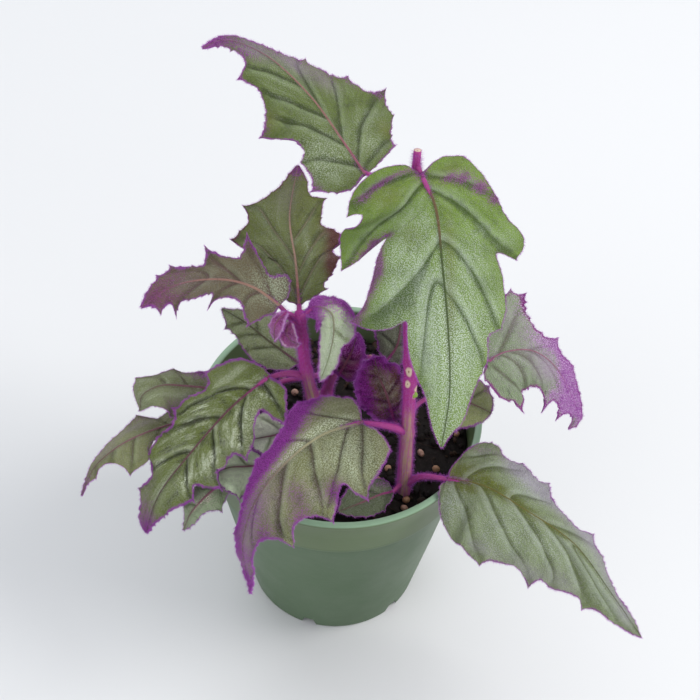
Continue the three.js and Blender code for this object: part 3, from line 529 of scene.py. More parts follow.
for name, stem in STEMS.items():
    chance = np.random.default_rng(len(name) + 20)
    route = make_route(stem["route"])
    length = route[1][-1]
    distances = np.append(np.arange(0, length, RING_STEP), length)
    low_radius, top_radius = stem["radii"]
    radii = low_radius + (top_radius - low_radius) * distances / length
    for joint in stem["joints"]:
        radii += 0.35 * np.exp(-((distances - joint) / 1.8) ** 2)
    spin = np.linspace(0, 2 * math.pi, STEM_SIDES, endpoint=False)
    run, radii = distances[:, None], radii[:, None]
    ribs = 0.07 * np.sin(5 * spin + 0.05 * run) + 0.04 * np.sin(11 * spin - 0.12 * run)
    rough = radii + ribs * np.clip(radii / 2, 0, 1)
    points, faces, out, flat = tube(route, distances, rough, STEM_SIDES)
    along, front = flat[:-2, 0], np.degrees(np.arctan2(out[:, 0], -out[:, 1]))
    scar, flesh_share = np.zeros(len(points)), np.zeros(len(points))
    share, height = stem["bare"]
    # paler on the side toward the camera: painted in place of the hairs' sheen, which leaves only the edges
    # magenta
    flesh_share[:-2] = 1.3 * share * np.clip(np.cos(np.radians(front - 10)), 0, 1) ** 1.5
    flesh_share[:-2] *= 0.12 + 0.88 * smooth_step(along, height + 5, height - 5)
    if name == "stem_right":
        for at, way, tall, wide in SCARS:
            across = np.radians((front - way + 180) % 360 - 180)
            d = np.hypot((along - at) / tall, across * SCAR_ROUND / wide)
            d *= 1 + 0.14 * np.sin(3 * np.arctan2(along - at, across) + at)
            swell = 0.45 * np.exp(-(d / 0.95) ** 4) - 0.35 * np.exp(-(d / 0.45) ** 2)
            points[:-2] += out * swell[:, None]
            scar[:-2] = np.maximum(scar[:-2], np.clip(1.5 - d, 0, 0.85) + np.clip(1.25 - 2.4 * d, 0, 0.8))
        at, way, size = BUD
        across = np.radians((front - way + 180) % 360 - 180)
        d = np.hypot((along - at) / size, across * SCAR_ROUND / size)
        points[:-2] += out * (1.1 * np.exp(-(d / 0.8) ** 2))[:, None]
        scar[:-2] = np.where(d < 0.9, 3, scar[:-2])
        points[-1] += (0, 0, -0.25)
        scar[-2 - STEM_SIDES:-2], scar[-1] = 0.5, 1.6
    count = int(length * HAIRS_PER_MM)
    ring = chance.integers(4, len(distances) - 2, count)
    place = ring * STEM_SIDES + chance.integers(0, STEM_SIDES, count)
    place = place[(points[place, 2] > BURIED) & (scar[place] < 0.4)]
    count, way = len(place), out[place]
    lean = unit(way + chance.normal(0, 0.28, (count, 3)) + (0, 0, 0.15))
    shift = chance.normal(0, 0.25, (count, 3))
    shift -= way * np.sum(shift * way, axis=1, keepdims=True)
    fine = hairs(points[place] + shift - 0.05 * way, lean, chance.uniform(0.7, 1.8, count), chance)
    tints = np.repeat(chance.uniform(0.35, 1.0, count), 3)
    # flat layout: the skin unrolled, its last column drawn to the sheet's edge, and the hairs below it
    laid = flat[:, :2] / (length, SKIN_ROUND * 2 * math.pi) * (0.96, 0.78) + (0.02, 0.2)
    laid = laid[np.concatenate([part.ravel() for part in faces])]
    quads = len(faces[0])
    wrap = np.arange(quads * 4).reshape(-1, 4)[(np.arange(quads) + 1) % STEM_SIDES == 0]
    laid[wrap[:, 1:3].ravel(), 1] = 0.98
    faces.append(np.arange(len(fine)).reshape(-1, 3) + len(points))
    bald, plain = np.zeros(len(points)), np.zeros(len(fine))
    piece = add_piece(
        name + "_skin", np.concatenate([points, fine]), faces, [stem_skin, hair],
        worn=np.repeat([0, 0, 0, 1], [len(part) for part in faces]),
        marks={"flat": np.concatenate([flat, np.zeros(fine.shape)]),
               "scar": np.concatenate([scar, plain]), "flesh_share": np.concatenate([flesh_share, plain]),
               "tint": np.concatenate([bald, tints]),
               "reach": np.concatenate([bald, np.tile(PEAK, count)])},
        laid=np.concatenate([laid, lay_hairs(tints, 0.02, 0.15)]))
    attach(piece, "root")
    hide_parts(name)


# The leaves
# Each is one thin, soft blade with large pointed teeth, grown from a stem on a fleshy stalk that runs on as
# the midrib. Side veins sink into the upper side and the blade swells between them. Short hairs cover it
# like velvet: silvery on the face, bright purple at the margin and wherever the blade turns away.

# Millimetres. stalk and rib are routes, facing is where the upper side looks at the base and at the tip.
# A half bends down by an angle and a curl per mm; its edge is points along the rib and out from it, where
# a third value of 1 marks a sharp tooth; a vein is its start on the rib, then two places along and out.
LEAVES = {
    "leaf_01": dict(rows=24, wave=1, stalk_radius=1, stalk=[(20.2, 3, 198), (13, 9, 199.5)],
        facing=[(0.1, -0.5, 0.9), (0.2, -0.3, 1)],
        rib=[(5, 12, 199), (-3, 24, 203), (-14, 38, 209), (-29, 49, 216), (-42, 52, 219), (-49, 46, 220)],
        left=dict(bend=(6, 0.4), edge=[(-2, 6), (0, 12), (4, 17, 1), (8, 15), (15, 15), (18, 12), (22, 13),
            (25, 16, 1), (32, 21, 1), (36, 17), (41, 13), (51, 11), (57, 12, 1), (58, 6), (61, 4),
            (65, 3, 1), (71, 2)],
            veins=[(3, 10, 7, 14, 15), (12, 24, 7, 33, 13), (24, 32, 5, 41, 9), (38, 45, 3, 57, 7)]),
        right=dict(bend=(6, 0.4), edge=[(1, 4), (3, 9), (5, 14, 1), (9, 15), (15, 20, 1), (20, 21),
            (25, 24, 1), (26, 18), (29, 16), (33, 16, 1), (35, 12), (40, 9), (44, 8, 1), (48, 5), (55, 3),
            (66, 2)],
            veins=[(1, 6, 8, 9, 15), (5, 12, 5, 24, 21), (14, 25, 5, 34, 10), (27, 37, 2, 45, 5)])),
    "leaf_02": dict(rows=28, wave=0.8, stalk_radius=1, stalk=[(20.4, 5, 209.5)],
        facing=[(0, -0.5, 0.86), (0, -0.75, 0.66)],
        rib=[(22, 1, 210), (27, -3, 200), (30, -13, 186), (33, -27, 170), (34, -44, 159), (32, -58, 150)],
        left=dict(bend=(5, 0.5), edge=[(-1, 4), (-1, 9), (2, 14), (7, 17), (14, 20, 1), (18, 22), (24, 27),
            (29, 27), (32, 24, 1), (30, 21), (29, 18), (37, 19), (46, 19), (51, 17, 1), (53, 13), (60, 12),
            (64, 10, 1), (71, 7), (79, 5), (84, 2)],
            veins=[(0, 6, 7, 13, 19), (6, 17, 11, 31, 24), (23, 28, 6, 40, 12), (38, 51, 7, 59, 10)]),
        right=dict(bend=(5, 0.5), edge=[(-4, 3), (-6, 7), (-7, 12), (-5, 19), (2, 26, 1), (3, 22), (8, 26),
            (17, 31), (25, 32), (29, 32, 1), (27, 27), (22, 21), (19, 16), (26, 20), (34, 23), (42, 27),
            (46, 31, 1), (49, 25), (49, 18), (47, 13), (52, 13), (61, 12), (71, 8), (82, 4)],
            veins=[(-1, -2, 9, 0, 23), (3, 9, 12, 28, 30), (23, 34, 10, 44, 23), (38, 49, 7, 63, 9)])),
    "leaf_03": dict(rows=20, wave=1, stalk_radius=1.1, stalk=[(-14.5, -10, 153)],
        facing=[(0, -0.2, 1), (0, -0.3, 1)],
        rib=[(-15, -4, 155), (-17, 12, 159), (-20, 30, 163), (-18, 46, 172)],
        left=dict(bend=(4, 0.4), edge=[(2, 4), (8, 9), (17, 14), (24, 16), (30, 20, 1), (32, 17), (34, 14),
            (38, 16, 1), (40, 11), (45, 5), (51, 2)], veins=[(1, 14, 5, 30, 18), (16, 27, 4, 38, 15)]),
        right=dict(bend=(4, 0.4), edge=[(2, 4), (5, 9, 1), (8, 9), (12, 12), (17, 15, 1), (20, 13),
            (25, 18, 1), (28, 15), (32, 11), (38, 11), (44, 11, 1), (44, 6), (49, 4)],
            veins=[(1, 12, 5, 22, 15), (11, 21, 6, 30, 17), (25, 33, 6, 43, 10)])),
    "leaf_04": dict(rows=24, wave=0.8, stalk_radius=1.1, stalk=[(-14.4, -10.5, 150)],
        facing=[(0, -0.4, 1), (-0.3, -0.4, 1)],
        rib=[(-21, -8, 158), (-30, -4, 162), (-41, 0, 161), (-57, 2, 155), (-68, -4, 150)],
        left=dict(bend=(14, 0.8), edge=[(0, 3), (2, 6), (4, 11, 1), (9, 9), (14, 6), (21, 6), (27, 9, 1),
            (25, 5), (34, 6), (40, 6), (45, 9, 1), (44, 5), (49, 5, 1), (50, 2)],
            veins=[(7, 10, 3, 11, 8), (16, 22, 4, 26, 9), (28, 34, 3, 44, 7)]),
        right=dict(bend=(-10, -0.4), edge=[(0, 5), (4, 9), (8, 6), (12, 9), (17, 15, 1), (18, 8), (23, 8),
            (28, 10, 1), (29, 5), (34, 5), (39, 6, 1), (43, 5, 1), (49, 3)],
            veins=[(3, 10, 5, 17, 14), (15, 22, 4, 28, 9), (28, 34, 4, 39, 5)])),
    "leaf_05": dict(rows=18, wave=0.3, stalk_radius=0.9, stalk=[(-14.2, -10.5, 155)],
        facing=[(0, -0.3, 1), (0, -1, 0.2)],
        rib=[(-13, -12.5, 160), (-9, -14, 165), (-4, -18, 166), (-3, -21, 162), (-4, -24, 153),
            (-7, -26, 141)],
        left=dict(bend=(20, 2), edge=[(3, 3), (10, 6), (17, 8), (21, 8), (24, 6, 1), (25, 4), (33, 4),
            (39, 2)]),
        right=dict(bend=(20, 2), edge=[(2, 3), (5, 6), (10, 8, 1), (13, 5), (20, 5), (28, 4), (36, 2)])),
    "leaf_06": dict(rows=25, wave=0.8, stalk_radius=1.4, stalk=[(-12, -11.5, 127), (-18, -14, 131)],
        facing=[(-0.2, -0.4, 1), (-0.6, -0.4, 0.7)],
        rib=[(-24, -17, 133), (-36, -23, 124), (-49, -31, 110), (-62, -39, 92), (-67, -44, 76)],
        left=dict(bend=(0, 0), edge=[(-1, 3), (-2, 7), (0, 11), (4, 18, 1), (7, 13), (9, 8), (14, 11),
            (19, 15), (24, 18, 1), (26, 14), (30, 12), (33, 14), (35, 13), (38, 18, 1), (42, 14), (45, 10),
            (49, 13, 1), (56, 10), (63, 7), (72, 3)],
            veins=[(4, 3, 6, 3, 13), (11, 17, 6, 24, 15), (27, 31, 5, 39, 18), (42, 45, 4, 49, 11)]),
        right=dict(bend=(-3, 0), edge=[(1, 5), (5, 11), (13, 15), (17, 15, 1), (19, 12), (27, 14),
            (34, 16, 1), (38, 12), (45, 14), (54, 12, 1), (57, 7), (64, 8, 1), (71, 6), (76, 4)],
            veins=[(8, 14, 5, 20, 8), (23, 28, 5, 34, 9), (39, 45, 4, 53, 7)])),
    "leaf_07": dict(rows=26, wave=0.8, stalk_radius=1.5, stalk=[(23.5, -23, 113), (16, -27, 121)],
        facing=[(-0.1, -0.3, 1), (-0.7, -0.5, 0.5)],
        rib=[(8, -31, 128), (-6, -41, 132), (-18, -52, 129), (-26, -61, 122), (-30, -67, 108),
            (-28, -69, 79)],
        left=dict(bend=(6, 0.4), edge=[(-2, 3), (-4, 7), (-5, 12, 1), (-1, 15), (4, 19), (9, 22),
            (14, 26, 1), (20, 22), (22, 18), (28, 20), (31, 22), (37, 25, 1), (39, 20), (43, 17), (49, 16),
            (55, 18, 1), (56, 12), (60, 7), (66, 5), (80, 4)],
            veins=[(0, 6, 11, 13, 25), (6, 18, 11, 33, 20), (22, 27, 8, 36, 21), (32, 45, 8, 54, 13),
            (46, 55, 2, 63, 4)]),
        right=dict(bend=(8, 0.6), edge=[(-2, 5), (-3, 11), (1, 13), (7, 15), (15, 16, 1), (21, 14),
            (25, 11), (32, 9), (38, 9, 1), (47, 6), (57, 4), (66, 5, 1), (75, 4), (84, 2)],
            veins=[(0, 6, 3, 17, 12), (21, 25, 4, 31, 9)])),
    "leaf_08": dict(rows=18, wave=0.6, stalk_radius=1, stalk=[(-10, -12, 116), (-12.5, -7, 120)],
        facing=[(0, -0.3, 1), (-0.3, -0.3, 1)],
        rib=[(-15, -2, 123), (-26, 6, 125), (-35, 11, 129), (-43, 14, 132)],
        left=dict(bend=(3, 0.4), edge=[(1, 4), (5, 7), (12, 9), (18, 8), (24, 6), (29, 5, 1), (31, 3)]),
        right=dict(bend=(3, 0.4), edge=[(1, 5), (5, 9), (11, 11), (17, 10), (24, 6, 1), (28, 3)])),
    "leaf_09": dict(rows=20, wave=0.6, stalk_radius=1.1, stalk=[(-3.5, 10, 104), (-18, 3, 108)],
        facing=[(0, -0.3, 1), (-0.8, -0.4, 0.6)],
        rib=[(-34, -5, 110), (-45, -6, 112), (-55, -7, 114), (-63, -9, 116), (-69, -13, 115),
            (-70, -16, 110)],
        left=dict(bend=(5, 0.5), edge=[(1, 5), (6, 8), (14, 10), (23, 12, 1), (28, 11), (35, 9), (40, 5)]),
        right=dict(bend=(5, 0.5), edge=[(1, 4), (8, 7), (16, 6), (20, 5), (25, 6, 1), (30, 5), (35, 9, 1),
            (40, 4)])),
    "leaf_10": dict(rows=20, wave=0.5, stalk_radius=1.1, stalk=[(-4.5, -14, 92), (-20, -12, 98)],
        facing=[(-0.1, -0.3, 1), (-0.7, -0.4, 0.7)],
        rib=[(-37, -8, 100), (-48, -9, 100), (-59, -12.5, 99.5), (-70, -19.5, 101), (-78, -26, 101),
            (-85, -32, 97), (-90, -36, 86)],
        left=dict(bend=(6, 0.6), edge=[(2, 4), (11, 6), (20, 5), (28, 4), (35, 5), (38, 10), (42, 11),
            (48, 12, 1), (48, 8), (50, 4), (54, 2), (58, 3, 1), (63, 1)]),
        right=dict(bend=(5, 0.4), edge=[(2, 4), (10, 7), (20, 7), (27, 4), (32, 9, 1), (38, 6), (46, 4),
            (56, 2)])),
    "leaf_11": dict(rows=16, wave=0.4, stalk_radius=0.9,
        stalk=[(-4.2, -14, 88), (-18, -25, 91), (-30, -34, 97)], facing=[(0, -0.4, 1), (-0.3, -0.5, 0.8)],
        rib=[(-38, -38, 102), (-45, -43, 98), (-50, -45, 91), (-53, -46, 82)],
        left=dict(bend=(4, 0.4), edge=[(0, 3), (4, 5), (8, 7, 1), (13, 4), (21, 3)]),
        right=dict(bend=(4, 0.4), edge=[(1, 3), (6, 5), (12, 5), (18, 4, 1), (22, 2)])),
    "leaf_12": dict(rows=16, wave=0.4, stalk_radius=1, stalk=[(-5, -13.9, 94), (-15, -24, 98)],
        facing=[(0, -0.5, 0.9), (-0.4, -0.5, 0.8)],
        rib=[(-26, -30, 100), (-32, -33, 103), (-37, -36, 106), (-41, -38, 106)],
        left=dict(bend=(4, 0.4), edge=[(1, 5), (6, 8), (12, 12, 1), (17, 8), (20, 3)]),
        right=dict(bend=(4, 0.4), edge=[(1, 4), (6, 7), (12, 7), (17, 4)])),
    "leaf_13": dict(rows=14, wave=0.4, stalk_radius=0.9, stalk=[(-7.5, -13, 104), (-11, -17, 108)],
        facing=[(0, -0.4, 1), (-0.4, -0.5, 0.8)],
        rib=[(-16, -22, 110), (-22, -25, 111), (-26, -27, 112), (-30, -29, 113)],
        left=dict(bend=(4, 0.4), edge=[(1, 3), (7, 6), (13, 6, 1), (16, 3)]),
        right=dict(bend=(4, 0.4), edge=[(0, 5), (5, 9), (11, 9, 1), (14, 5)])),
    "leaf_14": dict(rows=24, wave=0.6, stalk_radius=1.3, stalk=[(23, -18, 134), (36, -17, 139)],
        facing=[(0.1, -0.3, 1), (0.8, -0.5, 0.4)],
        rib=[(48, -14, 141), (55, -9, 141), (64, -6, 139), (72, -6, 133), (79, -9, 123), (83, -14, 114),
            (80, -18, 112)],
        left=dict(bend=(6, 0.3), edge=[(2, 4), (6, 8), (11, 16), (15, 22, 1), (18, 21, 1), (18, 14),
            (20, 9), (23, 7), (27, 9, 1), (31, 6), (37, 7), (43, 5), (52, 3)],
            veins=[(6, 14, 10, 18, 19), (18, 24, 4, 29, 8)]),
        right=dict(bend=(4, 0.2), edge=[(-3, 4), (-3, 8), (-2, 13), (1, 16), (1, 20, 1), (8, 15), (19, 13),
            (31, 10), (36, 11), (39, 14, 1), (39, 9), (43, 7), (47, 10, 1), (48, 5), (53, 3)],
            veins=[(0, 2, 5, 4, 10), (6, 12, 6, 14, 12), (10, 21, 5, 38, 12), (16, 29, 2, 45, 7)])),
    "leaf_15": dict(rows=27, wave=0.6, stalk_radius=1.4, stalk=[(24, -26, 87), (30, -29, 96)],
        facing=[(0.1, -0.3, 1), (0.6, -0.5, 0.6)],
        rib=[(38, -32, 100), (51, -38, 104), (65, -46, 102), (81, -56, 98), (95, -66, 84), (108, -72, 66)],
        left=dict(bend=(12, 0.3), edge=[(0, 4), (1, 9), (3, 15), (7, 19), (12, 18), (15, 15), (21, 16, 1),
            (28, 14), (32, 15, 1), (36, 10), (43, 7), (49, 6), (54, 9, 1), (56, 7), (62, 6, 1), (67, 4),
            (75, 2), (86, 2)],
            veins=[(1, 5, 11, 12, 14), (7, 13, 8, 22, 13), (25, 31, 6, 38, 8), (39, 49, 3, 57, 6)]),
        right=dict(bend=(4, 0.3), edge=[(-1, 3), (0, 8), (3, 15), (9, 21), (19, 23), (28, 25, 1), (30, 22),
            (34, 20), (38, 19), (43, 20), (47, 22, 1), (49, 18), (55, 17), (62, 13), (66, 11), (69, 12, 1),
            (72, 9), (81, 6), (90, 3)],
            veins=[(3, 8, 7, 27, 23), (13, 20, 5, 43, 18), (26, 33, 3, 53, 14), (38, 53, 5, 67, 10),
            (52, 65, 3, 80, 4)])),
    "leaf_16": dict(rows=14, wave=0.4, stalk_radius=0.9, stalk=[(23.3, -21, 121), (29, -14, 120)],
        facing=[(0, -0.3, 1), (0.3, -0.4, 0.9)],
        rib=[(35, -10, 118), (42, -8, 114), (48, -8, 111), (54, -8, 107)],
        left=dict(bend=(4, 0.4), edge=[(2, 4), (7, 9), (14, 10), (19, 9, 1), (22, 4)]),
        right=dict(bend=(4, 0.4), edge=[(1, 4), (4, 8), (9, 11, 1), (15, 8), (20, 4)])),
    "leaf_17": dict(rows=16, wave=0.8, stalk_radius=0.9, stalk=[(23.6, -23.5, 110)],
        facing=[(0, -1, 0.5), (0, -1, 0.6)],
        rib=[(19, -19, 114), (16, -16.5, 124), (12, -13.5, 134), (11, -12, 140)],
        left=dict(bend=(-8, -1), edge=[(2, 5), (7, 8), (13, 10), (19, 9), (24, 6, 1), (27, 3)]),
        right=dict(bend=(-8, -1), edge=[(1, 4), (6, 7), (12, 8), (18, 8, 1), (23, 7), (27, 3)])),
    "leaf_18": dict(rows=14, wave=0.4, stalk_radius=0.8, stalk=[(-1.5, 9.5, 110)],
        facing=[(-0.3, -1, 0.3), (-0.3, -1, 0.3)],
        rib=[(-1, 4, 110), (1, 3, 117), (3.5, 4, 124), (5, 6, 131)],
        left=dict(bend=(-6, -0.6), edge=[(2, 5), (8, 7), (15, 6, 1), (20, 3)]),
        right=dict(bend=(-6, -0.6), edge=[(2, 5), (8, 6), (15, 5, 1), (20, 3)])),
    "leaf_19": dict(rows=16, wave=0.4, stalk_radius=0.9, stalk=[(-0.8, 9.2, 113), (8, 9, 115)],
        facing=[(0, -0.8, 0.6), (0, -0.8, 0.6)],
        rib=[(16, 6, 117), (19, 7, 123), (20, 9, 130), (19, 12, 139)],
        left=dict(bend=(3, 0.3), edge=[(1, 4), (8, 8), (14, 9, 1), (20, 5)]),
        right=dict(bend=(3, 0.3), edge=[(1, 4), (8, 8), (14, 8, 1), (20, 4)])),
    "leaf_20": dict(rows=16, wave=0.3, stalk_radius=1, stalk=[(24, -26, 90)],
        facing=[(0, -0.1, 1), (0, -0.1, 1)],
        rib=[(20, -30, 88), (16, -31, 87.5), (9, -35, 87.5), (1, -40, 88.5)],
        left=dict(bend=(2, 0.2), edge=[(1, 3), (6, 6, 1), (13, 6), (19, 3)]),
        right=dict(bend=(2, 0.2), edge=[(1, 4), (6, 8), (12, 8, 1), (18, 4)])),
    "leaf_21": dict(rows=10, wave=0, stalk_radius=0.7, stalk=[(-14.4, -10.1, 154.5)],
        facing=[(-0.3, -0.4, 1), (-0.6, -0.8, 0.1)],
        rib=[(-18.5, -12, 159.5), (-21, -14, 158.5), (-22.5, -16, 156), (-22.5, -17.5, 151)],
        left=dict(bend=(20, 2), edge=[(2, 2), (6, 3), (10, 2)]),
        right=dict(bend=(20, 2), edge=[(2, 2), (6, 3), (10, 2)])),
    "leaf_22": dict(rows=10, wave=0, stalk_radius=0.7, stalk=[(-14.3, -10.3, 152)],
        facing=[(-0.3, -0.8, 0.4), (0, -0.9, -0.3)],
        rib=[(-17, -13.5, 156), (-18.5, -15.5, 153.5), (-17, -16.5, 150.5), (-14, -17, 149)],
        left=dict(bend=(-10, -2), edge=[(2, 3), (6, 4), (10, 2)]),
        right=dict(bend=(-10, -2), edge=[(2, 2), (6, 3), (10, 2)])),
    "leaf_23": dict(rows=18, wave=0.8, stalk_radius=1, stalk=[(21, -9, 161), (24, -2, 160)],
        facing=[(0.1, -0.1, 1), (0.4, 0.5, 0.8)],
        rib=[(28, 6, 158), (36, 19, 161), (42, 31, 157), (45, 41, 149)],
        left=dict(bend=(5, 0.5), edge=[(1, 5), (7, 11), (14, 14, 1), (17, 11), (24, 12, 1), (27, 8),
            (35, 6, 1), (40, 2)]),
        right=dict(bend=(5, 0.5), edge=[(1, 5), (7, 11), (14, 14, 1), (17, 11), (24, 12, 1), (27, 8),
            (35, 6, 1), (40, 2)])),
}
